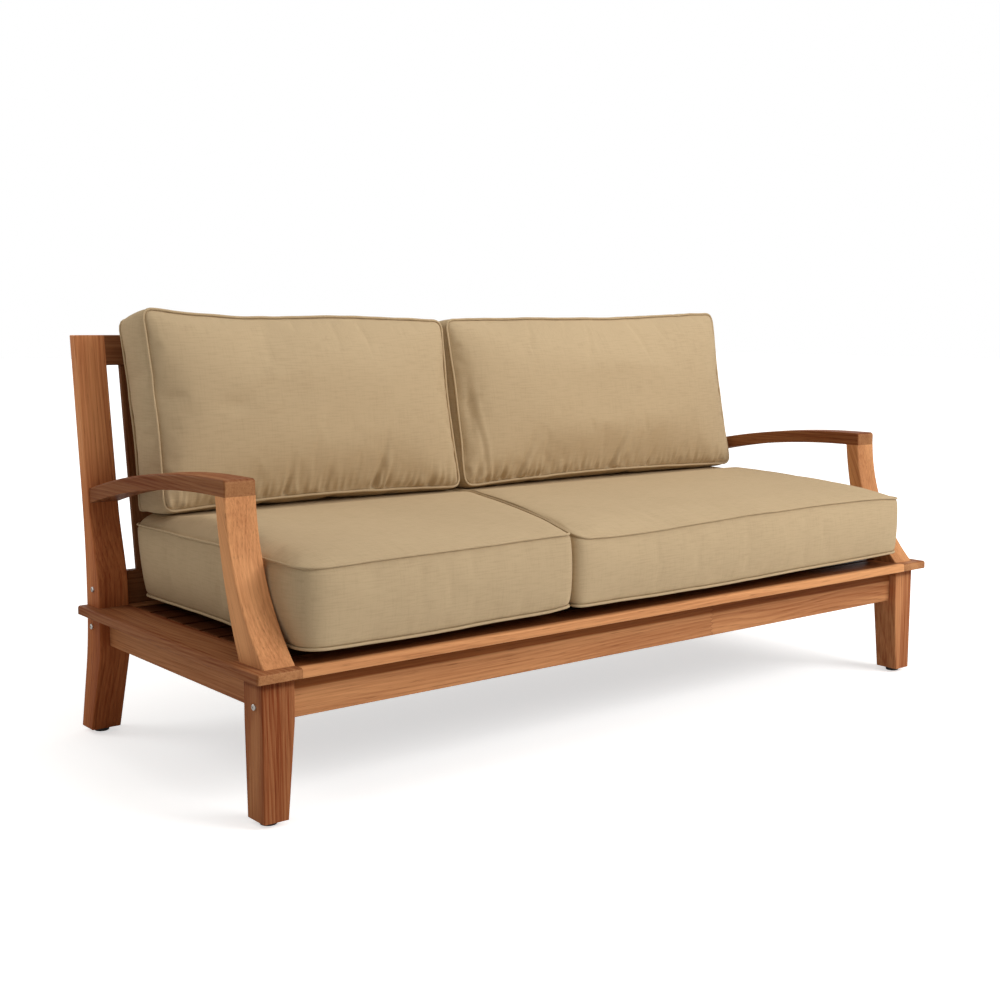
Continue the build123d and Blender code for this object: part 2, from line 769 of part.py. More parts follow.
seat_low = ledge_height + cushion_clearance
seat_top = seat_low + seat_underside + seat_boxing
seam_half = cushion_gap / 2 + cushion_bulge
seat_front_y = front_y + seat_front_setback
seat_rear_y = back_y - seat_rear_setback
seat_side_x = arm_inner_x - seat_side_gap
seat_bend_y = back_y - seat_seam_setback
seat_left = (
    (-seat_side_x, seat_front_y),
    (seat_seam_front - seam_half, seat_front_y),
    (seat_seam_rear - seam_half, seat_bend_y),
    (seat_seam_rear - seam_half, seat_rear_y),
    (-seat_side_x, seat_rear_y),
)
seat_right = (
    (seat_seam_front + seam_half, seat_front_y),
    (seat_side_x, seat_front_y),
    (seat_side_x, seat_rear_y),
    (seat_seam_rear + seam_half, seat_rear_y),
    (seat_seam_rear + seam_half, seat_bend_y),
)
seat_bows_left = (-cushion_draw, 0, 0, -cushion_draw, -cushion_draw)
seat_bows_right = (-cushion_draw, -cushion_draw, -cushion_draw, 0, 0)
for word, corners, bows in (("left", seat_left, seat_bows_left), ("right", seat_right, seat_bows_right)):
    with BuildPart() as seat_cushion:
        cushion(Plane.XY.offset(seat_top), corners, bows, seat_boxing, seat_crown, seat_underside)
        with BuildSketch(Plane.XY.offset(landing_height)):
            with Locations((0, back_y - landing_setback)):
                Rectangle(overall_length, overall_depth, align=(Align.CENTER, Align.MIN))
        extrude(amount=overrun, mode=Mode.SUBTRACT)
    finish(seat_cushion.part, f"seat_cushion_{word}")

back_run = back_toe_setback - back_head_setback
back_rise = sqrt(back_height**2 - back_run**2)
back_side_x = arm_inner_x - back_side_gap
back_plane = Plane(
    origin=(0, back_y - back_toe_setback, back_toe_height),
    x_dir=(1, 0, 0),
    z_dir=(0, -back_rise, back_run),
)
back_bows = (-cushion_draw, -cushion_draw, -cushion_draw, -cushion_draw)
rail_corner_y = lean_y(slat_top, rail_setback - cushion_clearance)
for word, low_x, high_x in (
    ("left", -back_side_x, back_seam - seam_half),
    ("right", back_seam + seam_half, back_side_x),
):
    corners = ((low_x, 0), (high_x, 0), (high_x, back_height), (low_x, back_height))
    with BuildPart() as back_cushion:
        cushion(back_plane, corners, back_bows, back_boxing, back_crown, back_rear_crown)
        with BuildSketch(Plane.XY.offset(landing_height + cushion_clearance)):
            Rectangle(overall_length, overall_depth)
        extrude(amount=-overrun, mode=Mode.SUBTRACT)
        with BuildSketch(Plane.YZ.offset(-half_length)):
            low, high = ledge_height, frame_height + overrun
            leaning_band(low, slat_top, half_length, slat_setback - cushion_clearance)
            leaning_band(slat_top, high, half_length, rail_setback - cushion_clearance)
            with Locations((rail_corner_y, low)):
                Rectangle(half_length, slat_top - low, align=Align.MIN)
        extrude(amount=overall_length, mode=Mode.SUBTRACT)
    finish(back_cushion.part, f"back_cushion_{word}")
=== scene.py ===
"""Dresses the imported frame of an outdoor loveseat: oiled boards, canvas cushions, a plain studio."""

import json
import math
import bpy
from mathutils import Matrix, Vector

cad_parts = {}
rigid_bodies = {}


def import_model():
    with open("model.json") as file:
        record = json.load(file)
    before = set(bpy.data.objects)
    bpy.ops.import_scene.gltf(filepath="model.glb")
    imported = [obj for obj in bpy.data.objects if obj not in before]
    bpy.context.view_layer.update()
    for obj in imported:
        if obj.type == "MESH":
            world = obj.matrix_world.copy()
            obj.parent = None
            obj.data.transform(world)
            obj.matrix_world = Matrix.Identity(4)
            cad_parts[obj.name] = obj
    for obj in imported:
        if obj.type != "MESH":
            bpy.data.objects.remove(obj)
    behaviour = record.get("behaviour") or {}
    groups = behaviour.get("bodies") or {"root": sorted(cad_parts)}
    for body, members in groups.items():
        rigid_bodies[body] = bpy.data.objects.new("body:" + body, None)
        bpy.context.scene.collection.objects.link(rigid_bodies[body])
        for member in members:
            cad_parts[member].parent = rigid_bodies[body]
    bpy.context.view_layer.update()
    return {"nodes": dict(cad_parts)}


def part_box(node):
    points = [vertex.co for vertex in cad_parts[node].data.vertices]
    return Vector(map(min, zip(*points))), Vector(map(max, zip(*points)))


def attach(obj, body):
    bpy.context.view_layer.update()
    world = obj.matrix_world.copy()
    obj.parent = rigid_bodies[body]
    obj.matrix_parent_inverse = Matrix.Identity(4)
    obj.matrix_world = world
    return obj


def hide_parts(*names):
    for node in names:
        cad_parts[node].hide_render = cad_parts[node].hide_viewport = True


bl_info = {
    "name": "Patio loveseat",
    "version": (1, 0, 0),
    "blender": (4, 5, 0),
    "location": "3D View > Sidebar > Loveseat",
    "description": "Finishes the boards, makes the four cushions and sets up the studio",
    "category": "Object",
}

from collections import namedtuple

import bpy
import numpy as np
from bpy.props import FloatProperty, FloatVectorProperty, IntProperty, PointerProperty
from mathutils import Matrix, Vector, noise

for startup in list(bpy.data.objects):
    bpy.data.objects.remove(startup)
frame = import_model()

# Places read from the frame, in metres
LEDGE_LOW, LEDGE_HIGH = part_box("ledge_front")
POST_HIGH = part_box("back_post_left")[1]
ARM_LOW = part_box("arm_post_right")[0]
FRONT_Y = LEDGE_LOW[1]
BACK_Y = POST_HIGH[1]
LEDGE_TOP = LEDGE_HIGH[2]
ARM_INNER_X = ARM_LOW[0]


# Sizes and colours that a user would change


class BoardLook(bpy.types.PropertyGroup):
    """Colours and grain of the oiled boards."""

    light: FloatVectorProperty(
        name="Light wood",
        description="Colour of the pale early wood",
        subtype="COLOR",
        size=4,
        default=(0.520, 0.245, 0.105, 1.0),
    )
    dark: FloatVectorProperty(
        name="Dark wood",
        description="Colour of the dark late wood",
        subtype="COLOR",
        size=4,
        default=(0.175, 0.040, 0.012, 1.0),
    )
    pore: FloatVectorProperty(
        name="Pores",
        description="Colour of the open pores",
        subtype="COLOR",
        size=4,
        default=(0.070, 0.016, 0.006, 1.0),
    )
    ring_spacing: FloatProperty(
        name="Ring spacing",
        description="Distance between two growth rings on the face of a board",
        unit="LENGTH",
        default=0.007,
    )
    joint_x: FloatProperty(
        name="End joint",
        description="Where the front apron's two lengths are finger jointed",
        unit="LENGTH",
        default=0.213,
    )


class CanvasLook(bpy.types.PropertyGroup):
    """Colours and weave of the cushion covers."""

    face: FloatVectorProperty(
        name="Canvas",
        description="Colour of the woven canvas",
        subtype="COLOR",
        size=4,
        default=(0.542, 0.404, 0.243, 1.0),
    )
    fleck: FloatVectorProperty(
        name="Fleck",
        description="Colour of the darker threads",
        subtype="COLOR",
        size=4,
        default=(0.438, 0.321, 0.189, 1.0),
    )
    thread: FloatProperty(
        name="Thread pitch",
        description="Distance between two threads of the weave",
        unit="LENGTH",
        default=0.0011,
    )


class CushionShape(bpy.types.PropertyGroup):
    """Sizes shared by the four cushions."""

    mesh_step: FloatProperty(
        name="Mesh step",
        description="Distance between two points of the cover's mesh",
        unit="LENGTH",
        default=0.0092,
    )
    groove: FloatProperty(
        name="Seam depth",
        description="How far the cover dips into the seam behind the piping",
        unit="LENGTH",
        default=0.0035,
    )
    bulge: FloatProperty(
        name="Boxing bulge",
        description="How far the boxing stands out halfway between the seams",
        unit="LENGTH",
        default=0.0045,
    )
    inner_bulge: FloatProperty(
        name="Inner bulge",
        description="How much further the boxing stands out where two cushions meet",
        unit="LENGTH",
        default=0.0035,
    )
    unevenness: FloatProperty(
        name="Seam unevenness",
        description="How far a sewn seam wanders from its line",
        unit="LENGTH",
        default=0.0014,
    )
    pressure: FloatProperty(
        name="Pressure",
        description="Pressure of the filling in the cloth simulation",
        default=4.0,
    )
    seat_ease: FloatProperty(
        name="Seat ease",
        description="How much larger a seat cover is cut than the form it is stretched over",
        subtype="FACTOR",
        default=0.004,
    )
    back_ease: FloatProperty(
        name="Back ease",
        description="How much larger a back cover is cut than the form it is stretched over",
        subtype="FACTOR",
        default=0.008,
    )
    cap: FloatProperty(
        name="Most movement",
        description="How far the simulation may move a point of the cover",
        unit="LENGTH",
        default=0.022,
    )
    frames: IntProperty(
        name="Frames",
        description="Steps of the cloth simulation",
        default=20,
    )


class StudioLook(bpy.types.PropertyGroup):
    """Camera and light."""

    camera_place: FloatVectorProperty(
        name="Camera",
        description="Place of the camera",
        subtype="TRANSLATION",
        unit="LENGTH",
        default=(-2.1315, -2.1015 + FRONT_Y, 0.8894),
    )
    camera_turn: FloatProperty(
        name="Turn",
        description="Turn of the camera from the front view",
        subtype="ANGLE",
        default=0.6792,
    )
    camera_dip: FloatProperty(
        name="Dip",
        description="How far the camera looks down",
        subtype="ANGLE",
        default=0.1246,
    )
    camera_roll: FloatProperty(
        name="Roll",
        description="Tilt of the camera about its own axis",
        subtype="ANGLE",
        default=0.0033,
    )
    lens: FloatProperty(
        name="Lens",
        description="Focal length of the camera in millimetres",
        default=51.01,
    )
    key: FloatProperty(
        name="Key light",
        description="Power of the large light in front",
        unit="POWER",
        default=112.0,
    )
    room: FloatProperty(
        name="Room light",
        description="Strength of the light from all round",
        default=0.34,
    )
    room_colour: FloatVectorProperty(
        name="Room colour",
        description="Colour of the light from all round",
        subtype="COLOR",
        size=4,
        default=(1.0, 0.965, 0.90, 1.0),
    )


LOOKS = {
    "loveseat_boards": BoardLook,
    "loveseat_canvas": CanvasLook,
    "loveseat_cushions": CushionShape,
    "loveseat_studio": StudioLook,
}


def look(name):
    """The settings of one kind, held by the scene."""
    return getattr(bpy.context.scene, name)


def linked(name, data):
    """A new object that holds the data, in the scene."""
    piece = bpy.data.objects.new(name, data)
    bpy.context.scene.collection.objects.link(piece)
    return piece


def dress(name, material):
    """Gives a piece of the frame one material in place of its own."""
    materials = frame["nodes"][name].data.materials
    materials.clear()
    materials.append(material)


# Node trees


def add(tree, kind, settings=None, inputs=None):
    """Adds a node, sets its options and fills or links its sockets."""
    node = tree.nodes.new(kind)
    for name, value in (settings or {}).items():
        setattr(node, name, value)
    for name, value in (inputs or {}).items():
        socket = node.inputs[name]
        if isinstance(value, bpy.types.NodeSocket):
            tree.links.new(value, socket)
        else:
            socket.default_value = value
    return node


def maths(tree, operation, *values):
    """A math node's result."""
    inputs = dict(enumerate(values))
    return add(tree, "ShaderNodeMath", {"operation": operation}, inputs).outputs[0]


def blend_colour(tree, factor, first, second):
    """Mixes two colours by a factor."""
    node = add(tree, "ShaderNodeMix", {"data_type": "RGBA"})
    for socket, value in ((node.inputs[0], factor), (node.inputs[6], first), (node.inputs[7], second)):
        if isinstance(value, bpy.types.NodeSocket):
            tree.links.new(value, socket)
        else:
            socket.default_value = value
    return node.outputs[2]


# A noise: how it is stretched along each axis, its detail and roughness, and its reach:
# the two values of the noise that the range runs between, and the two results
Noise = namedtuple("Noise", "scale detail roughness reach", defaults=((0.0, 1.0, 0.0, 1.0),))


def soft_noise(tree, vector, kind, output=0):
    """A noise over a vector: its value, or the output of that name."""
    inputs = {"Vector": vector, "Scale": kind.scale}
    place = add(tree, "ShaderNodeMapping", {"vector_type": "POINT"}, inputs).outputs[0]
    inputs = {"Vector": place, "Scale": 1.0, "Detail": kind.detail, "Roughness": kind.roughness}
    return add(tree, "ShaderNodeTexNoise", {"noise_dimensions": "3D"}, inputs).outputs[output]


def ranged(tree, value, low, high, new_low=0.0, new_high=1.0):
    """Maps a value from one range to another, smoothly and clamped."""
    settings = {"interpolation_type": "SMOOTHSTEP"}
    inputs = {0: value, 1: low, 2: high, 3: new_low, 4: new_high}
    return add(tree, "ShaderNodeMapRange", settings, inputs).outputs[0]


def new_group(name, inputs, outputs):
    """Starts a shader node group with named sockets."""
    group = bpy.data.node_groups.new(name, "ShaderNodeTree")
    for direction, sockets in (("INPUT", inputs), ("OUTPUT", outputs)):
        for socket, kind in sockets.items():
            group.interface.new_socket(socket, in_out=direction, socket_type=kind)
    start = group.nodes.new("NodeGroupInput")
    end = group.nodes.new("NodeGroupOutput")
    return group, start.outputs, end.inputs


# The grain's noises, stretched across a board, through it and along it
DRIFT = Noise((5.0, 5.0, 1.3), 1.5, 0.45)
WANDER = Noise((45.0, 45.0, 4.0), 2.0, 0.5)
STREAKS = Noise((210.0, 210.0, 2.6), 3.0, 0.6, (0.36, 0.74, 0.0, 0.24))
FIBRES = Noise((480.0, 480.0, 9.0), 2.0, 0.6, (0.25, 0.75, -0.07, 0.11))
BROAD = Noise((14.0, 14.0, 0.9), 2.0, 0.5, (0.3, 0.7, -0.19, 0.22))
PORES = Noise((560.0, 560.0, 21.0), 1.0, 0.5, (0.60, 0.74, 0.0, 1.0))
# How far drift and wander carry the rings, and how far a board's seed moves its grain, in metres
DRIFT_REACH = (0.085, 0.085, 0.0)
WANDER_REACH = (0.006, 0.006, 0.0)
SEED_SHIFT = {"X": 0.37, "Y": 0.23, "Z": 3.1}
# Where late wood starts and ends in a ring, as shares of the ring
LATE_START, LATE_END = (0.15, 0.85), (1.0, 0.88)
# Depths of tone: the least, and how much more the strongest ring or pore adds
RING_LEAST, RING_MORE = 0.06, 0.13
PORE_LEAST, PORE_MORE = 0.12, 0.24
# On end grain the rings are weaker by this share, and the tone is paler: painted light, for the light and
# sheen that the front ends catch
END_RINGS, END_PAINTED_LIGHT = -0.7, -0.35
# How far fibres stand up, and how far pores and late wood lie deeper
FIBRE_RISE, PORE_DIP, RING_DIP = 0.5, 0.6, 0.15
# The streaks' range, and the roughness at either end of it
STREAK_ROUGHNESS = (0.2, 0.8, 0.40, 0.58)


def grain_group():
    """Board grain: growth rings, streaks and pores along the vector's Z."""
    group, given, wanted = new_group(
        "Board grain",
        {
            "Vector": "NodeSocketVector",
            "Light": "NodeSocketColor",
            "Dark": "NodeSocketColor",
            "Pore": "NodeSocketColor",
            "Ring spacing": "NodeSocketFloat",
            "Seed": "NodeSocketFloat",
            "Tone": "NodeSocketFloat",
            "End": "NodeSocketFloat",
        },
        {
            "Color": "NodeSocketColor",
            "Height": "NodeSocketFloat",
            "Roughness": "NodeSocketFloat",
        },
    )

    def vector_maths(operation, values, output="Vector"):
        node = add(group, "ShaderNodeVectorMath", {"operation": operation}, dict(enumerate(values)))
        return node.outputs[output]

    shifts = {axis: maths(group, "MULTIPLY", given["Seed"], share) for axis, share in SEED_SHIFT.items()}
    shift = add(group, "ShaderNodeCombineXYZ", inputs=shifts).outputs[0]
    place = vector_maths("ADD", (given["Vector"], shift))
    drift = soft_noise(group, place, DRIFT, "Color")
    swing = vector_maths("MULTIPLY_ADD", (drift, DRIFT_REACH, place))
    wander = soft_noise(group, place, WANDER, "Color")
    swing = vector_maths("MULTIPLY_ADD", (wander, WANDER_REACH, swing))
    apart = add(group, "ShaderNodeSeparateXYZ", inputs={0: swing}).outputs
    across = add(group, "ShaderNodeCombineXYZ", inputs={"X": apart[0], "Y": apart[1]}).outputs[0]
    turns = maths(group, "DIVIDE", vector_maths("LENGTH", (across,), "Value"), given["Ring spacing"])
    ring = maths(group, "FRACT", turns)
    late = maths(group, "MULTIPLY", ranged(group, ring, *LATE_START), ranged(group, ring, *LATE_END))
    ring_number = {"W": maths(group, "FLOOR", turns)}
    chance = add(group, "ShaderNodeTexWhiteNoise", {"noise_dimensions": "1D"}, ring_number)
    ring_depth = maths(group, "MULTIPLY_ADD", chance.outputs["Value"], RING_MORE, RING_LEAST)
    streaks = soft_noise(group, place, STREAKS)
    fibres = soft_noise(group, place, FIBRES)
    broad = soft_noise(group, place, BROAD)
    pores = ranged(group, soft_noise(group, place, PORES), *PORES.reach)

    depth = maths(group, "MULTIPLY", late, ring_depth)
    depth = maths(group, "MULTIPLY", depth, maths(group, "MULTIPLY_ADD", given["End"], END_RINGS, 1.0))
    for value, kind in ((streaks, STREAKS), (fibres, FIBRES), (broad, BROAD)):
        depth = maths(group, "ADD", depth, ranged(group, value, *kind.reach))
    depth = maths(group, "ADD", depth, given["Tone"])
    # Painted light: end grain is made paler
    depth = maths(group, "MULTIPLY_ADD", given["End"], END_PAINTED_LIGHT, depth)
    depth = add(group, "ShaderNodeClamp", inputs={0: depth}).outputs[0]
    colour = blend_colour(group, depth, given["Light"], given["Dark"])
    pore_depth = maths(group, "MULTIPLY_ADD", late, PORE_MORE, PORE_LEAST)
    colour = blend_colour(group, maths(group, "MULTIPLY", pores, pore_depth), colour, given["Pore"])
    height = maths(group, "MULTIPLY_ADD", fibres, FIBRE_RISE, FIBRE_RISE)
    height = maths(group, "SUBTRACT", height, maths(group, "MULTIPLY", pores, PORE_DIP))
    height = maths(group, "SUBTRACT", height, maths(group, "MULTIPLY", late, RING_DIP))
    group.links.new(colour, wanted["Color"])
    group.links.new(height, wanted["Height"])
    group.links.new(ranged(group, streaks, *STREAK_ROUGHNESS), wanted["Roughness"])
    return group


# The weave's noises, stretched across the cloth and along it
SLUBS_ACROSS = Noise((24.0, 330.0, 1.0), 2.0, 0.55, (0.38, 0.72, 0.0, 0.42))
SLUBS_ALONG = Noise((300.0, 20.0, 1.0), 2.0, 0.55, (0.42, 0.75, 0.0, 0.26))
FLECKS = Noise((900.0, 900.0, 1.0), 1.0, 0.5, (0.3, 0.8, -0.10, 0.25))
CLOUDS = Noise((5.0, 5.0, 5.0), 2.0, 0.5, (0.3, 0.7, -0.08, 0.10))
# The turns of a face's normal over which the weave changes from one face's plane to the next
FACE_TURN = (0.6, 0.8)
CROSSING_TONE, CROSSING_RISE, SLUB_RISE = -0.12, 0.6, 0.5


def weave_group():
    """Canvas weave: crossed threads, slubs and a fleck, laid on each face by its normal."""
    group, given, wanted = new_group(
        "Canvas weave",
        {
            "Vector": "NodeSocketVector",
            "Face": "NodeSocketColor",
            "Fleck": "NodeSocketColor",
            "Thread": "NodeSocketFloat",
        },
        {"Color": "NodeSocketColor", "Height": "NodeSocketFloat"},
    )
    normal = add(group, "ShaderNodeNewGeometry").outputs["Normal"]
    facing = add(group, "ShaderNodeSeparateXYZ", inputs={0: normal}).outputs
    on_side = ranged(group, maths(group, "ABSOLUTE", facing[0]), *FACE_TURN)
    on_top = ranged(group, maths(group, "ABSOLUTE", facing[2]), *FACE_TURN)
    place = add(group, "ShaderNodeSeparateXYZ", inputs={0: given["Vector"]}).outputs

    def mixed(factor, first, second):
        difference = maths(group, "SUBTRACT", second, first)
        return maths(group, "MULTIPLY_ADD", factor, difference, first)

    def threads_along(distance):
        turn = maths(group, "MULTIPLY", distance, math.tau)
        return maths(group, "SINE", maths(group, "DIVIDE", turn, given["Thread"]))

    across = mixed(on_side, place[0], place[1])
    along = mixed(on_top, place[2], place[1])
    crossing = maths(group, "MULTIPLY", threads_along(across), threads_along(along))
    crossing = maths(group, "MULTIPLY_ADD", crossing, 0.5, 0.5)
    flat = add(group, "ShaderNodeCombineXYZ", inputs={"X": across, "Y": along}).outputs[0]
    slubs = soft_noise(group, flat, SLUBS_ACROSS)
    fleck = ranged(group, slubs, *SLUBS_ACROSS.reach)
    for vector, kind in ((flat, SLUBS_ALONG), (flat, FLECKS), (given["Vector"], CLOUDS)):
        fleck = maths(group, "ADD", fleck, ranged(group, soft_noise(group, vector, kind), *kind.reach))
    fleck = maths(group, "ADD", fleck, maths(group, "MULTIPLY", crossing, CROSSING_TONE))
    fleck = add(group, "ShaderNodeClamp", inputs={0: fleck}).outputs[0]
    colour = blend_colour(group, fleck, given["Face"], given["Fleck"])
    rise = maths(group, "MULTIPLY", slubs, SLUB_RISE)
    group.links.new(colour, wanted["Color"])
    group.links.new(maths(group, "MULTIPLY_ADD", crossing, CROSSING_RISE, rise), wanted["Height"])
    return group


def grouped(tree, group, inputs):
    """Places a node group in a material."""
    return add(tree, "ShaderNodeGroup", {"node_tree": group}, inputs).outputs


def new_material(name):
    """An empty material with its shader."""
    material = bpy.data.materials.new(name)
    material.use_nodes = True
    tree = material.node_tree
    return material, tree, tree.nodes["Principled BSDF"]


def object_place(tree):
    """Coordinates in metres, fixed to the piece."""
    return add(tree, "ShaderNodeTexCoord").outputs["Object"]


# A board's finish: grain axis, seed, how dark the grain is, how pale the board is, lean of the grain,
# where the grain bends with the board, and where shade is painted into its colour
Board = namedtuple("Board", "axis seed tone gain lean bends shades", defaults=(1.0, 0.0, (), ()))
# Painted shade, darkening a board where shade falls: the axis, where it starts and where it is full, and
# the colour that it is multiplied by
Shade = namedtuple("Shade", "axis start stop colour")
# How softly the grain bends, in metres, and the turns of a face's normal that show end grain
BEND_SOFTNESS = 0.05
END_TURN = (0.7, 0.9)
BOARD_SHINE = 0.04
BOARD_RELIEF = 0.00035


def grain_place(tree, board):
    """Coordinates whose Z runs along a board's grain, which leans or follows the board's bends."""
    place = object_place(tree)
    if board.lean:
        turn = {"Vector": place, "Rotation": (board.lean, 0.0, 0.0)}
        place = add(tree, "ShaderNodeMapping", {"vector_type": "POINT"}, turn).outputs[0]
    apart = list(add(tree, "ShaderNodeSeparateXYZ", inputs={0: place}).outputs)
    for height, slope in board.bends:
        past = maths(tree, "SUBTRACT", apart[2], height)
        past = maths(tree, "MULTIPLY", past, math.copysign(1.0, slope))
        past = maths(tree, "SMOOTH_MAX", past, 0.0, BEND_SOFTNESS)
        apart[1] = maths(tree, "MULTIPLY_ADD", past, -abs(slope), apart[1])
    order = {"X": (1, 2, 0), "Y": (2, 0, 1), "Z": (0, 1, 2)}[board.axis]
    inputs = {"X": apart[order[0]], "Y": apart[order[1]], "Z": apart[order[2]]}
    return add(tree, "ShaderNodeCombineXYZ", inputs=inputs).outputs[0]


def end_face(tree, axis):
    """One where a face cuts across the grain, zero where it runs along it."""
    normal = add(tree, "ShaderNodeNewGeometry").outputs["Normal"]
    facing = add(tree, "ShaderNodeSeparateXYZ", inputs={0: normal}).outputs[axis]
    return ranged(tree, maths(tree, "ABSOLUTE", facing), *END_TURN)


def relief(tree, shader, height, depth):
    """Feeds a height into the shader's normal."""
    inputs = {"Height": height, "Strength": 1.0, "Distance": depth}
    tree.links.new(add(tree, "ShaderNodeBump", inputs=inputs).outputs[0], shader.inputs["Normal"])


def with_painted_shade(tree, colour, shades):
    """A board's colour with painted shade, darkened from one place along an axis to another and on beyond
    it.
    """
    for painted_shade in shades:
        apart = add(tree, "ShaderNodeSeparateXYZ", inputs={0: object_place(tree)}).outputs
        place = maths(tree, "ABSOLUTE", apart[painted_shade.axis])
        both = {0: colour, 1: painted_shade.colour}
        darker = add(tree, "ShaderNodeVectorMath", {"operation": "MULTIPLY"}, both).outputs[0]
        colour = blend_colour(tree, ranged(tree, place, painted_shade.start, painted_shade.stop), colour, darker)
    return colour


def grained(tree, group, board, end):
    """Places the grain group with one board's values; end is one on end grain."""
    boards = look("loveseat_boards")
    light = [channel * board.gain for channel in boards.light[:3]]
    dark = [channel * board.gain for channel in boards.dark[:3]]
    inputs = {
        "Vector": grain_place(tree, board),
        "Light": (*light, 1.0),
        "Dark": (*dark, 1.0),
        "Pore": tuple(boards.pore),
        "Ring spacing": boards.ring_spacing,
        "Seed": float(board.seed),
        "Tone": board.tone,
        "End": end,
    }
    return grouped(tree, group, inputs)


def oiled(tree, shader, colour, roughness, height):
    """Feeds a board's grain into its shader, with the low shine of an oiled face."""
    tree.links.new(colour, shader.inputs["Base Color"])
    tree.links.new(roughness, shader.inputs["Roughness"])
    shader.inputs["Specular IOR Level"].default_value = BOARD_SHINE
    relief(tree, shader, height, BOARD_RELIEF)


def board_material(group, name, board):
    """Oiled hardwood with its grain along one axis."""
    material, tree, shader = new_material(name)
    grain = grained(tree, group, board, end_face(tree, board.axis))
    oiled(tree, shader, with_painted_shade(tree, grain["Color"], board.shades), grain["Roughness"], grain["Height"])
    return material


# The finger joint: pitch of the fingers, their slope, and the width and tone of the glue line
FINGER_PITCH, FINGER_SLOPE = 0.0055, 1.8
JOINT_EDGE = 0.0004
GLUE_REACH = (0.0010, 0.0002)
GLUE_TONE = 0.55


def jointed_material(group, name, lengths):
    """Oiled hardwood in two lengths of board that meet in a finger joint."""
    boards = look("loveseat_boards")
    material, tree, shader = new_material(name)
    left, right = (grained(tree, group, board, 0.0) for board in lengths)
    apart = add(tree, "ShaderNodeSeparateXYZ", inputs={0: object_place(tree)}).outputs
    fingers = maths(tree, "PINGPONG", apart[2], FINGER_PITCH)
    line = maths(tree, "SUBTRACT", apart[0], boards.joint_x)
    line = maths(tree, "SUBTRACT", line, maths(tree, "MULTIPLY", fingers, FINGER_SLOPE))
    side = ranged(tree, line, -JOINT_EDGE, JOINT_EDGE)
    glue = ranged(tree, maths(tree, "ABSOLUTE", line), *GLUE_REACH)
    colour = blend_colour(tree, side, left["Color"], right["Color"])
    colour = blend_colour(tree, maths(tree, "MULTIPLY", glue, GLUE_TONE), colour, tuple(boards.pore))
    height = maths(tree, "SUBTRACT", left["Height"], glue)
    oiled(tree, shader, with_painted_shade(tree, colour, lengths[0].shades), left["Roughness"], height)
    return material


CANVAS_NAME = "woven canvas"
CANVAS_ROUGHNESS, CANVAS_SHINE, CANVAS_RELIEF = 0.92, 0.18, 0.00022


def canvas_material():
    """The woven outdoor canvas that all cushions share, made once."""
    if CANVAS_NAME in bpy.data.materials:
        return bpy.data.materials[CANVAS_NAME]
    canvas = look("loveseat_canvas")
    material, tree, shader = new_material(CANVAS_NAME)
    inputs = {
        "Vector": object_place(tree),
        "Face": tuple(canvas.face),
        "Fleck": tuple(canvas.fleck),
        "Thread": canvas.thread,
    }
    weave = grouped(tree, weave_group(), inputs)
    tree.links.new(weave["Color"], shader.inputs["Base Color"])
    shader.inputs["Roughness"].default_value = CANVAS_ROUGHNESS
    shader.inputs["Specular IOR Level"].default_value = CANVAS_SHINE
    relief(tree, shader, weave["Height"], CANVAS_RELIEF)
    return material


# Noises, colours and reliefs of the steel and of the glides
BRUSHING = Noise((900.0, 3500.0, 900.0), 2.0, 0.6)
DULLING = Noise((140.0, 140.0, 140.0), 3.0, 0.6, (0.45, 0.7, 0.0, 1.0))
BRIGHT_STEEL, DULL_STEEL = (0.62, 0.60, 0.57, 1.0), (0.34, 0.31, 0.28, 1.0)
STEEL_ROUGHNESS, STEEL_RELIEF = (0.3, 0.7, 0.25, 0.5), 0.00008
SPARKS = Noise((1800.0, 1800.0, 1800.0), 2.0, 0.6)
SCUFFS = Noise((260.0, 90.0, 260.0), 3.0, 0.6, (0.55, 0.75, 0.0, 1.0))
CLEAN_GLIDE, SCUFFED_GLIDE = (0.012, 0.012, 0.013, 1.0), (0.045, 0.043, 0.041, 1.0)
GLIDE_ROUGHNESS, GLIDE_RELIEF = (0.4, 0.7, 0.45, 0.7), 0.00012


def metal_material():
    """Brushed stainless steel, dulled in places."""
    material, tree, shader = new_material("bolt steel")
    place = object_place(tree)
    dulled = soft_noise(tree, place, DULLING)
    colour = blend_colour(tree, ranged(tree, dulled, *DULLING.reach), BRIGHT_STEEL, DULL_STEEL)
    tree.links.new(colour, shader.inputs["Base Color"])
    shader.inputs["Metallic"].default_value = 1.0
    tree.links.new(ranged(tree, dulled, *STEEL_ROUGHNESS), shader.inputs["Roughness"])
    relief(tree, shader, soft_noise(tree, place, BRUSHING), STEEL_RELIEF)
    return material


def glide_material():
    """Black moulded plastic with a fine spark texture and scuffs."""
    material, tree, shader = new_material("moulded glide")
    place = object_place(tree)
    scuffs = soft_noise(tree, place, SCUFFS)
    colour = blend_colour(tree, ranged(tree, scuffs, *SCUFFS.reach), CLEAN_GLIDE, SCUFFED_GLIDE)
    tree.links.new(colour, shader.inputs["Base Color"])
    tree.links.new(ranged(tree, scuffs, *GLIDE_ROUGHNESS), shader.inputs["Roughness"])
    relief(tree, shader, soft_noise(tree, place, SPARKS), GLIDE_RELIEF)
    return material


# The boards' finishes

# Where the back posts bend, and how far they run back per metre above or below that height
POST_BENDS = ((0.41, 0.13), (0.20, -0.28))
# The lean of the grain in the back slats and in the arm posts
SLAT_ANGLE = math.radians(7.4)
ARM_ANGLE = math.radians(24.0)
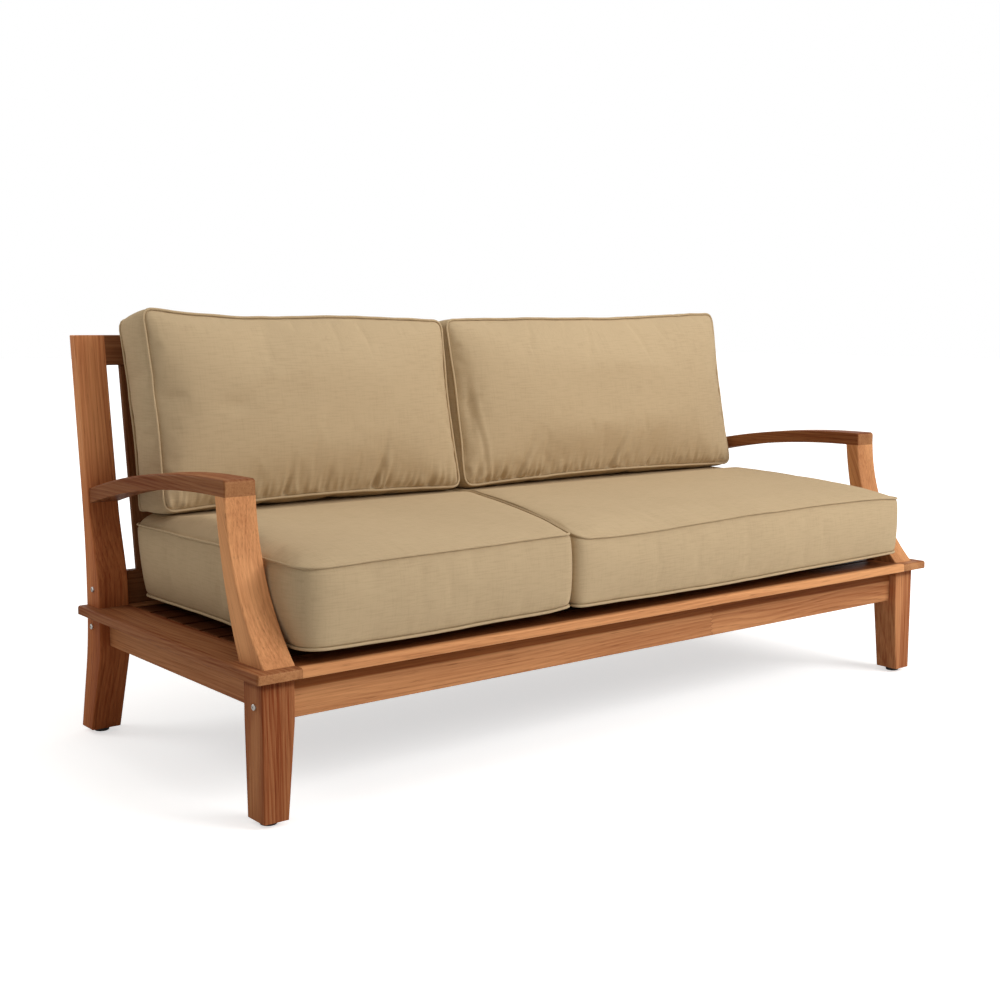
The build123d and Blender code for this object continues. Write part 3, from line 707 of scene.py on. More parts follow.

# Painted shade, where shade falls: under the ledge, low on the posts, at their feet, and under the
# cushions
# Painted shadow of the front ledge on the top of the front apron
APRON_PAINTED_SHADE = Shade(2, LEDGE_LOW[2] - 0.032, LEDGE_LOW[2] - 0.027, (0.46, 0.32, 0.22))
# Painted shade on the tops of the front legs under the ledge
LEG_PAINTED_SHADE = Shade(2, LEDGE_LOW[2] - 0.020, LEDGE_LOW[2] - 0.012, (0.62, 0.52, 0.45))
# Painted shade on the back posts, darker below the armrests where less light falls
POST_PAINTED_SHADE = Shade(2, 0.66, 0.50, (0.75, 0.61, 0.54))
# Painted shade, darker still near the posts' feet
FOOT_PAINTED_SHADE = Shade(2, 0.30, 0.24, (0.78, 0.70, 0.62))
# Painted shade on the seat slats under the cushions, near black inwards of the arms
SLAT_PAINTED_SHADE = Shade(0, ARM_INNER_X + 0.012, ARM_INNER_X - 0.012, (0.20, 0.15, 0.12))
# Painted shade on the front ledge's top behind its front edge, under the seat cushions
LEDGE_PAINTED_SHADE = Shade(1, -FRONT_Y - 0.008, -FRONT_Y - 0.022, (0.22, 0.15, 0.11))

BOARDS = {
    "leg left": Board("Z", 1, 0.54, 1.30, shades=(LEG_PAINTED_SHADE,)),
    "leg right": Board("Z", 6, 0.40, 1.42, shades=(LEG_PAINTED_SHADE,)),
    "post left": Board("Z", 9, 0.34, 1.85, bends=POST_BENDS, shades=(POST_PAINTED_SHADE, FOOT_PAINTED_SHADE)),
    "post right": Board("Z", 4, 0.36, 1.80, bends=POST_BENDS, shades=(POST_PAINTED_SHADE, FOOT_PAINTED_SHADE)),
    "arm post left": Board("Z", 14, -0.06, 1.50, ARM_ANGLE),
    "arm post right": Board("Z", 17, -0.02, 1.25, ARM_ANGLE),
    "armrest left": Board("Y", 21, 0.62, 0.90),
    "armrest right": Board("Y", 25, 0.52, 0.85),
    "front ledge": Board("X", 31, -0.12, 1.44, shades=(LEDGE_PAINTED_SHADE,)),
    "rear ledge": Board("X", 36, 0.12),
    "side ledge left": Board("Y", 41, 0.58, 1.02),
    "side ledge right": Board("Y", 44, 0.36),
    "side apron": Board("Y", 51, 0.50, 1.26),
    # Painted shade: the back rail and the back slats have a darker tone for the shade behind the back
    # cushions
    "back rail": Board("X", 61, 0.48, 0.70),
    "slat 0": Board("Z", 71, 0.42, 0.72, SLAT_ANGLE),
    "slat 1": Board("Z", 76, 0.50, 0.76, SLAT_ANGLE),
    "slat 2": Board("Z", 83, 0.38, 0.72, SLAT_ANGLE),
    # Painted shade: the seat slats have a dark tone for the shade under the cushions
    "seat slat 0": Board("X", 91, 0.60, 1.0, shades=(SLAT_PAINTED_SHADE,)),
    "seat slat 1": Board("X", 97, 0.64, 1.0, shades=(SLAT_PAINTED_SHADE,)),
    "bearer": Board("Y", 101, 0.20),
}
# The front apron's two lengths, left and right of its joint
APRON_LENGTHS = (
    Board("X", 3, 0.12, 1.26, shades=(APRON_PAINTED_SHADE,)),
    Board("X", 11, 0.18, 1.26),
)
DOWEL = Board("Z", 55, -0.15)
SLAT_BOARDS, SEAT_SLAT_BOARDS = 3, 2
BOARD_OF = {
    "front_leg_left": "leg left",
    "front_leg_right": "leg right",
    "back_post_left": "post left",
    "back_post_right": "post right",
    "arm_post_left": "arm post left",
    "arm_post_right": "arm post right",
    "armrest_left": "armrest left",
    "armrest_right": "armrest right",
    "ledge_front": "front ledge",
    "ledge_rear": "rear ledge",
    "ledge_left": "side ledge left",
    "ledge_right": "side ledge right",
    "side_apron_left": "side apron",
    "side_apron_right": "side apron",
    "side_cleat_left": "bearer",
    "side_cleat_right": "bearer",
    "front_apron": "front apron",
    "rear_apron": "back rail",
    "back_top_rail": "back rail",
    "back_bottom_rail": "back rail",
}


def board_for(name):
    """The board that a piece of the frame is cut from, or None if it isn't wood."""
    if name.startswith("back_slat_"):
        return f"slat {int(name[-2:]) * 2 % SLAT_BOARDS}"
    if name.startswith("seat_slat_"):
        return f"seat slat {int(name[-1:]) % SEAT_SLAT_BOARDS}"
    if name.startswith("seat_bearer_"):
        return "bearer"
    return BOARD_OF.get(name)


class LOVESEAT_OT_boards(bpy.types.Operator):
    """Finishes every board with oiled wood whose grain runs along it"""

    bl_idname = "loveseat.boards"
    bl_label = "Finish the boards"

    def execute(self, context):
        grain = grain_group()
        made = {name: board_material(grain, name, board) for name, board in BOARDS.items()}
        made["front apron"] = jointed_material(grain, "front apron", APRON_LENGTHS)
        for name in frame["nodes"]:
            if board_for(name):
                dress(name, made[board_for(name)])
        return {"FINISHED"}


class LOVESEAT_OT_fittings(bpy.types.Operator):
    """Finishes the bolts, barrel nuts, dowels and foot glides"""

    bl_idname = "loveseat.fittings"
    bl_label = "Finish the fittings"

    def execute(self, context):
        steel = metal_material()
        dress("frame_bolts", steel)
        dress("barrel_nuts", steel)
        dress("foot_glides", glide_material())
        dress("dowels", board_material(bpy.data.node_groups["Board grain"], "dowel", DOWEL))
        return {"FINISHED"}


# Cushion covers


# A panel's crown: its height, the distances from the sides, front and rear over which it rises,
# and how fast it rises there
Crown = namedtuple("Crown", "height side front rear power")
# How a cover is cut: which corners of its outline are the panel's own four, how far each corner
# is rounded, how far each side is drawn in, and the seed of its unevenness
Cut = namedtuple("Cut", "main trims draws seed")
# A fold above a lower seam: its place across the object, where it starts above the seam,
# its lean to the side, its length, width and height, in metres
Fold = namedtuple("Fold", "place low lean length width height")

CORNER_POINTS, SIDE_POINTS = 13, 42
UNEVEN_SIZE = 0.05
BULGE_POWER = 0.6
CORD_SIDES = 8
# Keeps a division by a length from dividing by zero
LEAST_LENGTH = 1e-9
# How far a seed moves the noise along each axis
SEED_STEPS = (7.3, 3.1, 5.7)


def unit(vector):
    """A vector of length one."""
    return vector / np.linalg.norm(vector)


def units(vectors):
    """Vectors of length one, one in each row."""
    return vectors / np.linalg.norm(vectors, axis=1)[:, None]


def outline(corners, cut):
    """Dense closed outline with rounded corners and drawn-in sides, and where its main corners are."""
    points, marks = [], []
    count = len(corners)
    corners = [np.array(corner, dtype=float) for corner in corners]
    for i, corner in enumerate(corners):
        following = (i + 1) % count
        back = unit(corners[i - 1] - corner)
        ahead = unit(corners[following] - corner)
        start, end = corner + back * cut.trims[i], corner + ahead * cut.trims[i]
        marks.append(len(points) + CORNER_POINTS // 2)
        for step in np.linspace(0.0, 1.0, CORNER_POINTS):
            points.append((1 - step) ** 2 * start + 2 * step * (1 - step) * corner + step**2 * end)
        stop = corners[following] - ahead * cut.trims[following]
        inward = np.array((-ahead[1], ahead[0]))
        for step in np.linspace(0.0, 1.0, SIDE_POINTS)[1:-1]:
            points.append(end + (stop - end) * step + inward * cut.draws[i] * math.sin(math.pi * step))
    return np.array(points), [marks[i] for i in cut.main]


def resampled(points, count):
    """A run of points spread evenly into count steps."""
    lengths = np.linalg.norm(np.diff(points, axis=0), axis=1)
    reach = np.concatenate(((0.0,), np.cumsum(lengths)))
    wanted = np.linspace(0.0, reach[-1], count + 1)
    return np.stack([np.interp(wanted, reach, points[:, axis]) for axis in range(2)], axis=1)


def stretch_of(points, start, stop):
    """The points of a closed outline from one place to another, both included."""
    if stop > start:
        return points[start : stop + 1]
    return np.concatenate((points[start:], points[: stop + 1]))


def patch(front, right, rear, left):
    """Fills four sides with a grid, indexed [along the front][towards the rear]."""
    s = np.linspace(0.0, 1.0, len(front))[:, None, None]
    t = np.linspace(0.0, 1.0, len(left))[None, :, None]
    sides = (1 - t) * front[:, None] + t * rear[:, None] + (1 - s) * left[None] + s * right[None]
    corners = (1 - s) * (1 - t) * front[0] + s * (1 - t) * front[-1]
    return sides - corners - (1 - s) * t * rear[0] - s * t * rear[-1]


def crown_share(grid, crown):
    """Share of a crown's height over a grid, from zero at its edges to one."""
    width = np.linalg.norm(grid[-1] - grid[0], axis=1)[None]
    length = np.linalg.norm(grid[:, -1] - grid[:, 0], axis=1)[:, None]
    s = np.linspace(0.0, 1.0, grid.shape[0])[:, None]
    t = np.linspace(0.0, 1.0, grid.shape[1])[None]
    near_side = np.clip(np.minimum(s, 1 - s) * width / crown.side, 0.0, 1.0)
    near_end = np.clip(np.minimum(t / crown.front, (1 - t) / crown.rear) * length, 0.0, 1.0)
    return ((1 - (1 - near_side) ** 2) * (1 - (1 - near_end) ** 2)) ** crown.power


def wavy(place, size, seed):
    """Smooth noise between -1 and 1."""
    return noise.noise(Vector(place) / size + Vector([seed * step for step in SEED_STEPS]))


def smooth_step(values, low, high):
    """Runs smoothly from zero at low to one at high."""
    share = np.clip((values - low) / (high - low), 0.0, 1.0)
    return share * share * (3 - 2 * share)


def bell(values, reach):
    """One at zero, falling off to both sides over a reach."""
    return np.exp(-((values / reach) ** 2))


def kept_below(values, cap, softness):
    """Bends values over so that they stay below a cap."""
    return cap - softness * np.logaddexp(0.0, (cap - values) / softness)


def smooth_mesh(name, points, faces):
    """A smooth mesh object, in the scene."""
    data = bpy.data.meshes.new(name)
    data.from_pydata(points.tolist(), [], faces.tolist())
    data.update()
    data.polygons.foreach_set("use_smooth", [True] * len(data.polygons))
    return linked(name, data)


class Cover:
    """The cover of one boxed cushion, in its own frame: across, up the face, out of the face."""

    # Places of the boxing's rows between its two seams, closest near the seams
    rows = (0.0, 0.05, 0.12, 0.21, 0.32, 0.44, 0.56, 0.68, 0.79, 0.88, 0.95, 1.0)

    def __init__(self, name, corners, cut, finer=1.0):
        self.name, self.seed = name, cut.seed
        step = look("loveseat_cushions").mesh_step
        points, marks = outline(corners, cut)
        runs = [stretch_of(points, marks[i], marks[(i + 1) % 4]) for i in range(4)]
        self.nx = round(np.linalg.norm(runs[0][-1] - runs[0][0]) / step * finer)
        self.ny = round(np.linalg.norm(runs[1][-1] - runs[1][0]) / step)
        self.front, self.right = resampled(runs[0], self.nx), resampled(runs[1], self.ny)
        self.rear, self.left = resampled(runs[2], self.nx)[::-1], resampled(runs[3], self.ny)[::-1]

    def border(self):
        """Grid places round the edge, anticlockwise from the front left corner."""
        nx, ny = self.nx, self.ny
        places = [(i, 0) for i in range(nx)] + [(nx, j) for j in range(ny)]
        return places + [(i, ny) for i in range(nx, 0, -1)] + [(0, j) for j in range(ny, 0, -1)]

    def find_edge(self, loop, unevenness):
        """Sets the panel's edge, slightly uneven, and the way out from it in the panel's plane."""
        ahead = np.roll(loop, -1, axis=0) - np.roll(loop, 1, axis=0)
        self.outward = units(np.stack((ahead[:, 1], -ahead[:, 0]), axis=1))
        off = [wavy((u, v, 0.0), UNEVEN_SIZE, self.seed) * unevenness for u, v in loop]
        self.loop = loop + self.outward * np.array(off)[:, None]

    def boxing_rows(self, lift, boxing, inner):
        """Rows of points down the boxing, between its two seams."""
        shape = look("loveseat_cushions")
        swell = shape.bulge + shape.inner_bulge * np.clip(self.outward[:, :1] * inner, 0.0, 1.0)
        rows = []
        for share in self.rows[1:-1]:
            out = swell * (4 * share * (1 - share)) ** BULGE_POWER
            level = lift * (1 - share) - boxing * share
            rows.append(np.column_stack((self.loop + self.outward * out, level)))
        return rows

    def build(self, boxing, face, rear, inner, rise=None):
        """Points and faces of the face panel, the panel behind and the boxing between them.

        The boxing stands out further on the side of the neighbour, whose direction is inner.
        """
        shape = look("loveseat_cushions")
        grid = patch(self.front, self.right, self.rear, self.left)
        rows, columns = np.array(self.border()).T
        self.find_edge(grid[rows, columns], shape.unevenness)
        face_share, rear_share = crown_share(grid, face), crown_share(grid, rear)
        grid[rows, columns] = self.loop - self.outward * shape.groove
        lift = rise(grid[..., 0], grid[..., 1]) if rise else np.zeros(grid.shape[:2])
        top = lift * (1 - face_share) + face.height * face_share
        low = -boxing - rear.height * rear_share
        points = [np.concatenate((grid, level[..., None]), axis=2).reshape(-1, 3) for level in (top, low)]
        points += self.boxing_rows(lift[rows, columns], boxing, inner)

        self.panel = (self.nx + 1) * (self.ny + 1)
        number = np.arange(self.panel).reshape(self.nx + 1, self.ny + 1)
        corners = (number[:-1, :-1], number[1:, :-1], number[1:, 1:], number[:-1, 1:])
        quads = np.stack(corners, axis=2).reshape(-1, 4)
        faces = [quads, quads[:, ::-1] + self.panel]
        seam = number[rows, columns]
        count = len(seam)
        middle = [np.arange(count) + self.panel * 2 + count * k for k in range(len(self.rows) - 2)]
        rings = [seam, *middle, seam + self.panel]
        for upper, lower in zip(rings, rings[1:]):
            faces.append(np.stack((np.roll(upper, -1), upper, lower, np.roll(lower, -1)), axis=1))
        self.points, self.faces = np.concatenate(points), np.concatenate(faces)
        self.seams = (rings[0], rings[-1])

    def place(self, origin, across, up, out):
        """Turns the cover's own coordinates into the object's."""
        self.origin, self.axes = np.array(origin), np.array((across, up, out), dtype=float)
        self.points = self.origin + self.points @ self.axes

    def own(self, points):
        """Turns the object's coordinates into the cover's own."""
        return (points - self.origin) @ self.axes.T


def read_points(mesh):
    """A mesh's points as an array."""
    values = np.empty(len(mesh.vertices) * 3)
    mesh.vertices.foreach_get("co", values)
    return values.reshape(-1, 3)


def write_points(mesh, points):
    """Moves a mesh's points to the places in an array."""
    mesh.vertices.foreach_set("co", points.ravel())
    mesh.update()


def stuffed(piece, held, ease):
    """Places of the cover's points after a cloth simulation under pressure that holds some of them."""
    shape = look("loveseat_cushions")
    scene = bpy.context.scene
    group = piece.vertex_groups.new(name="held")
    group.add(held.tolist(), 1.0, "REPLACE")
    modifier = piece.modifiers.new("Filling", "CLOTH")
    cloth = modifier.settings
    cloth.quality = 6
    cloth.mass = 0.25
    cloth.tension_stiffness = 25.0
    cloth.compression_stiffness = 25.0
    cloth.shear_stiffness = 12.0
    cloth.bending_stiffness = 0.9
    cloth.tension_damping = 12.0
    cloth.compression_damping = 12.0
    cloth.shear_damping = 12.0
    cloth.use_pressure = True
    cloth.uniform_pressure_force = shape.pressure
    cloth.shrink_min = -ease
    cloth.vertex_group_mass = "held"
    cloth.effector_weights.gravity = 0.0
    modifier.point_cache.frame_start = 1
    modifier.point_cache.frame_end = shape.frames
    for step in range(1, shape.frames + 1):
        scene.frame_set(step)
    seen = piece.evaluated_get(bpy.context.evaluated_depsgraph_get()).to_mesh()
    moved = read_points(seen)
    piece.modifiers.remove(modifier)
    piece.vertex_groups.remove(group)
    scene.frame_set(1)
    return moved


def cord(name, paths, radii):
    """Closed round cords along closed paths, as one mesh."""
    points, faces = [], []
    base = 0
    angles = np.linspace(0.0, math.tau, CORD_SIDES, endpoint=False)[None, :, None]
    for path, radius in zip(paths, radii):
        count = len(path)
        ahead = units(np.roll(path, -1, axis=0) - np.roll(path, 1, axis=0))
        face = unit(np.cross(path - path.mean(axis=0), ahead).mean(axis=0))
        first = units(np.cross(ahead, face))
        second = np.cross(ahead, first)
        spokes = first[:, None] * np.cos(angles) + second[:, None] * np.sin(angles)
        points.append((path[:, None] + spokes * radius).reshape(-1, 3))
        number = np.arange(count * CORD_SIDES).reshape(count, CORD_SIDES) + base
        turned = np.roll(number, -1, axis=1)
        quads = (number, turned, np.roll(turned, -1, axis=0), np.roll(number, -1, axis=0))
        faces.append(np.stack(quads, axis=2).reshape(-1, 4))
        base += count * CORD_SIDES
    return smooth_mesh(name, np.concatenate(points), np.concatenate(faces))


def finish_cover(cover, held, ease, limits, puckers, radii, body, node):
    """Fills a cover, keeps it in its space, puckers and pipes its seams and dresses it."""
    shape = look("loveseat_cushions")
    piece = smooth_mesh(cover.name, cover.points, cover.faces)
    points = np.array(cover.points)
    shift = stuffed(piece, held, ease) - cover.points
    length = np.linalg.norm(shift, axis=1)[:, None]
    points += shift * np.minimum(1.0, shape.cap / np.maximum(length, LEAST_LENGTH))
    points = limits(points)
    write_points(piece.data, points)
    out = cover.outward @ cover.axes[:2] * shape.groove
    paths = [limits(points[seam] + out) for seam in cover.seams]
    smooth = piece.modifiers.new("Smooth", "SUBSURF")
    smooth.levels = smooth.render_levels = 1
    bpy.context.view_layer.objects.active = piece
    bpy.ops.object.modifier_apply(modifier=smooth.name)
    points = read_points(piece.data)
    write_points(piece.data, limits(points + puckers(cover.own(points))[:, None] * cover.axes[2]))
    piping = cord(cover.name + "_piping", paths, radii)
    for part in (piece, piping):
        part.data.materials.append(canvas_material())
        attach(part, body)
    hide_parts(node)


# The seat cushions, in metres

# Each table that has an entry for -1 and one for 1 is for the left and the right cushion
SIDES = {-1: "left", 1: "right"}
# Room between a cover and what it touches
GAP = 0.0006
# Where the cushions meet: the line slants from the front to a bend and then runs straight back.
# Each cushion's own edge lies SEAM_HALF beside it, and the boxing bulges up to it
SEAM_HALF = 0.008
SEAM_FRONT_X, SEAM_REAR_X = -0.239, -0.087
SEAM_BEND_Y = BACK_Y - 0.265
SEAT_FRONT_Y, SEAT_REAR_Y = FRONT_Y + 0.005, BACK_Y - 0.125
SEAT_END_X = {-1: 0.0084 - ARM_INNER_X, 1: ARM_INNER_X - 0.0164}
SEAT_SEAM_Z, SEAT_BOXING = LEDGE_TOP + 0.1763, 0.154
SEAT_REST = SEAT_SEAM_Z - SEAT_BOXING - LEDGE_TOP - GAP
SEAT_CROWN = Crown(height=0.036, side=0.075, front=0.40, rear=0.05, power=0.8)
SEAT_UNDERSIDE = Crown(height=SEAT_REST, side=0.16, front=0.20, rear=0.12, power=2.2)
SEAT_CUT = {
    -1: Cut((0, 1, 3, 4), (0.056, 0.012, 0.03, 0.03, 0.03), (0.004, 0.0, 0.0, 0.004, 0.004), 3),
    1: Cut((0, 1, 2, 3), (0.030, 0.034, 0.03, 0.03, 0.03), (0.004, 0.004, 0.004, 0.0, 0.0), 8),
}
SEAT_PIPING = (0.0024, 0.0030)

# The front seams are not straight: places along the front and how far the seam lies above its level.
# FRONT_REACH is how far back from the front this shows
TOP_SEAM = {
    -1: ((-0.84, -0.003), (-0.66, -0.001), (-0.45, 0.0), (-0.25, 0.003)),
    1: (
        (-0.24, -0.002),
        (-0.20, -0.011),
        (-0.14, -0.013),
        (0.0, -0.011),
        (0.14, -0.007),
        (0.35, -0.001),
        (0.70, 0.000),
        (0.79, -0.003),
        (0.85, -0.008),
    ),
}
LOW_SEAM = {
    -1: ((-0.84, 0.003), (-0.62, 0.0), (-0.43, 0.003), (-0.30, 0.004), (-0.24, 0.009)),
    1: ((-0.23, 0.007), (-0.17, 0.005), (0.0, 0.002), (0.33, 0.003), (0.55, 0.007), (0.85, 0.012)),
}
FRONT_REACH = 0.30
# How far the low part of an outer end is tucked in, over which distance from the end,
# and which share of it at two places behind the front
SEAT_TUCK, TUCK_REACH = 0.018, 0.05
TUCK_SHARE = ((0.05, 0.2), (0.5, 1.0))
# Where the cushions press on each other: places behind the front and how far the seam is pushed up
SEAM_RISE = ((0.0, 0.0), (0.05, 0.009), (0.13, 0.019), (0.30, 0.030), (0.50, 0.031))
SEAM_RISE_REACH = 0.12
# Waves of the filling: how long and how high. Points below RESTING_Z lie on the slats,
# and those behind PRESSED_Y lie under the back cushions
SEAT_WAVES = (0.16, 0.0018)
RESTING_Z = LEDGE_TOP + 0.006
PRESSED_Y = BACK_Y - 0.24

# The highest that a seat may rise: places behind its front edge and heights of the top,
# and how softly it is held down there
SEAT_CAP = ((0.0, 0.476), (0.10, 0.486), (0.25, 0.495), (0.42, 0.500), (0.50, 0.500), (0.565, 0.4904))
CAP_SOFTNESS = ((0.30, 0.004), (0.55, 0.0008))
COVER_END_X, COVER_FRONT_Y = ARM_INNER_X - 0.002, FRONT_Y - 0.006

# Puckers along the front top seam: reach behind the seam, size, height, and how they are drawn out
SEAT_PUCKER_REACH, SEAT_PUCKER_SIZE, SEAT_PUCKER_HEIGHT = 0.018, 0.016, 0.0008
SEAT_PUCKER_STRETCH = (1.6, 0.4)
ABOVE_SEAM = 0.002


def read_off(pairs, places):
    """Values at places, straight between pairs of a place and a value."""
    return np.interp(places, *zip(*pairs))


def kept_beside(x, seam, side):
    """Keeps places across the object between the seam and the arm on one side."""
    if side < 0:
        return np.clip(x, -COVER_END_X, seam - GAP)
    return np.clip(x, seam + GAP, COVER_END_X)


def seam_x(y):
    """Where the seat cushions meet, at a depth."""
    share = np.clip((y - FRONT_Y) / (SEAM_BEND_Y - FRONT_Y), 0.0, 1.0)
    return SEAM_FRONT_X + (SEAM_REAR_X - SEAM_FRONT_X) * share


def seam_rise(x, y):
    """How far the top seam is pushed up where the seat cushions press on each other."""
    return read_off(SEAM_RISE, y - FRONT_Y) * bell(x - seam_x(y), SEAM_RISE_REACH)


class LOVESEAT_OT_seat_cushions(bpy.types.Operator):
    """Makes the two boxed seat cushions, pressed flat under the back cushions"""

    bl_idname = "loveseat.seat_cushions"
    bl_label = "Make the seat cushions"

    def execute(self, context):
        for side, word in SIDES.items():
            self.make(side, word)
        return {"FINISHED"}

    def make(self, side, word):
        near = SEAM_HALF * side
        front_seam = (SEAM_FRONT_X + near, SEAT_FRONT_Y)
        bend = (SEAM_REAR_X + near, SEAM_BEND_Y)
        rear_seam = (SEAM_REAR_X + near, SEAT_REAR_Y)
        front_end = (SEAT_END_X[side], SEAT_FRONT_Y)
        rear_end = (SEAT_END_X[side], SEAT_REAR_Y)
        if side < 0:
            corners = (front_end, front_seam, bend, rear_seam, rear_end)
        else:
            corners = (front_seam, front_end, rear_end, rear_seam, bend)
        cover = Cover(f"seat_pad_{word}", corners, SEAT_CUT[side])
        cover.build(SEAT_BOXING, SEAT_CROWN, SEAT_UNDERSIDE, -side, seam_rise)
        cover.place((0.0, 0.0, SEAT_SEAM_Z), (1, 0, 0), (0, 1, 0), (0, 0, 1))
        self.slump(cover, side)
        finish_cover(
            cover,
            held=self.held(cover),
            ease=look("loveseat_cushions").seat_ease,
            limits=lambda points: self.limited(points, side),
            puckers=lambda own: self.puckers(own, cover.seed),
            radii=SEAT_PIPING,
            body=f"seat_{word}",
            node=f"seat_cushion_{word}",
        )

    @staticmethod
    def slump(cover, side):
        """Uneven seams and small waves of the filling, before the cover is stuffed."""
        x, y, z = cover.points.T
        height = np.clip((z - (SEAT_SEAM_Z - SEAT_BOXING)) / SEAT_BOXING, 0.0, 1.0)
        crowned = np.clip((z - SEAT_SEAM_Z) / SEAT_CROWN.height, 0.0, 1.0)
        top = read_off(TOP_SEAM[side], x) * height * (1 - crowned)
        low = read_off(LOW_SEAM[side], x) * (1 - height)
        resting = z < RESTING_Z
        size, rise = SEAT_WAVES
        waves = [wavy(point, size, cover.seed) * rise for point in cover.points]
        cover.points[:, 2] += np.where(resting, 0.0, (top + low) * bell(y - FRONT_Y, FRONT_REACH) + waves)
        end = SEAT_END_X[side]
        tucked = bell(x - end, TUCK_REACH) * (1 - height) * read_off(TUCK_SHARE, y - FRONT_Y)
        cover.points[:, 0] -= np.where(resting, 0.0, math.copysign(SEAT_TUCK, end) * tucked)

    @staticmethod
    def held(cover):
        """The seams, the underside and the part under the back cushions."""
        pressed = (cover.points[: cover.panel, 1] > PRESSED_Y).nonzero()[0]
        underside = np.arange(cover.panel, cover.panel * 2)
        return np.unique(np.concatenate((*cover.seams, underside, pressed)))

    @staticmethod
    def limited(points, side):
        """Keeps a cover on the slats, between its neighbours and under the back cushions."""
        x, y, z = points.T
        z = kept_below(z, read_off(SEAT_CAP, y - FRONT_Y), read_off(CAP_SOFTNESS, y - FRONT_Y))
        z = np.maximum(z, LEDGE_TOP + GAP)
        x = kept_beside(x, seam_x(y), side)
        return np.stack((x, np.maximum(y, COVER_FRONT_Y), z), axis=1)

    @staticmethod
    def puckers(own, seed):
        """Faint puckers along the front top seam."""
        x, y, z = own.T
        near = bell(y - SEAT_FRONT_Y, SEAT_PUCKER_REACH) * (z > ABOVE_SEAM)
        wide, deep = SEAT_PUCKER_STRETCH
        waves = [wavy((u * wide, v * deep, 0.0), SEAT_PUCKER_SIZE, seed) for u, v in zip(x, y)]
        return near * np.array(waves) * SEAT_PUCKER_HEIGHT


# The back cushions, in metres

# The lower edge of the face, the face's height along its slope, how far its top lies behind
# its lower edge, and the thickness of the boxing
BACK_TOE_Y, BACK_TOE_Z = BACK_Y - 0.250, 0.501
BACK_HEIGHT, BACK_RUN = 0.412, 0.079
BACK_BOXING = 0.115
BACK_TRIMS, BACK_DRAWS = (0.024, 0.024, 0.024, 0.024), (0.010, 0.006, 0.0, 0.006)
BACK_CUT = {side: Cut((0, 1, 2, 3), BACK_TRIMS, BACK_DRAWS, seed) for side, seed in ((-1, 12), (1, 17))}
BACK_FINER = 1.35
BACK_PIPING = (0.0029, 0.0029)
BACK_WAVES = (0.13, 0.0030)
BACK_CROWN = Crown(height=0.034, side=0.14, front=0.11, rear=0.14, power=0.55)
BACK_REAR_CROWN = Crown(height=0.034, side=0.12, front=0.12, rear=0.12, power=0.6)
BACK_SIDE_X = ARM_INNER_X - 0.0204
BACK_UP = (0.0, BACK_RUN / BACK_HEIGHT, math.sqrt(BACK_HEIGHT**2 - BACK_RUN**2) / BACK_HEIGHT)
BACK_OUT = (0.0, -BACK_UP[2], BACK_UP[1])
# The front of the back posts: its top, its lean as a slope, and where it is at the top
POST_TOP_Z, POST_LEAN = POST_HIGH[2], 0.1305
POST_FRONT_Y = BACK_Y - 0.028
# The lowest that a back cushion may reach, and how far the slats and the rail over them lie
# behind the posts' front, at two heights
LANDING_Z = 0.4910
SETBACKS = ((0.776, 0.0075), (0.792, 0.002))

# The top seams sag between their corners: shares of the width and how far the seam lies above its level
TOP_EDGE = {
    -1: ((0.0, 0.012), (0.13, 0.001), (0.33, -0.008), (0.60, -0.003), (1.0, -0.012)),
    1: ((0.0, -0.010), (0.25, -0.006), (0.60, -0.004), (0.85, 0.006), (1.0, 0.011)),
}
# How many steps of the top edge its sag is smoothed over, to either side
SAG_STEPS = 6

FOLDS = {
    -1: (
        Fold(-0.690, 0.210, 0.0, 0.020, 0.040, -0.0043),
        Fold(-0.572, 0.0, 0.05, 0.060, 0.007, -0.0081),
        Fold(-0.470, 0.0, 0.03, 0.050, 0.008, -0.0087),
        Fold(-0.395, 0.0, 0.10, 0.030, 0.006, 0.0049),
        Fold(-0.345, 0.0, 0.20, 0.085, 0.007, -0.0090),
        Fold(-0.318, 0.0, 0.10, 0.060, 0.006, 0.0075),
        Fold(-0.288, 0.0, 0.30, 0.035, 0.007, -0.0081),
        Fold(-0.240, 0.0, 0.10, 0.030, 0.006, 0.0049),
        Fold(-0.186, 0.0, 0.10, 0.028, 0.006, -0.0058),
        Fold(-0.130, 0.0, -0.10, 0.026, 0.006, 0.0049),
    ),
    1: (
        Fold(-0.020, 0.090, -0.13, 0.100, 0.006, -0.0030),
        Fold(-0.050, 0.180, 0.00, 0.070, 0.008, -0.0038),
        Fold(-0.052, 0.0, 0.30, 0.050, 0.006, -0.0072),
        Fold(0.026, 0.0, 0.25, 0.040, 0.006, -0.0084),
        Fold(0.070, 0.0, 0.45, 0.075, 0.007, -0.0090),
        Fold(0.094, 0.0, 0.45, 0.055, 0.006, 0.0070),
        Fold(0.160, 0.0, 0.15, 0.030, 0.006, -0.0058),
        Fold(0.255, 0.0, 0.20, 0.030, 0.006, -0.0061),
        Fold(0.385, 0.0, 0.40, 0.095, 0.008, -0.0081),
        Fold(0.412, 0.0, 0.40, 0.060, 0.006, 0.0058),
        Fold(0.530, 0.0, 0.25, 0.050, 0.006, -0.0067),
        Fold(0.640, 0.0, 0.25, 0.035, 0.006, -0.0052),
        Fold(0.745, 0.0, 0.15, 0.028, 0.006, -0.0043),
    ),
}
# A fold starts over this height, and beside it the cloth gives way the other way:
# as a share of the fold's height, and so many widths away
FOLD_START = 0.012
GIVE_SHARE, GIVE_PLACE = 0.45, 1.9

# Puckers at right angles to a seam: how far they reach and how high they are
LOW_PUCKERS, SIDE_PUCKERS, TOP_PUCKERS = (0.036, 0.0120), (0.022, 0.0026), (0.020, 0.0012)
PUCKER_SIZE, PUCKER_STRETCH, PUCKER_START = 0.0100, 0.22, 0.010
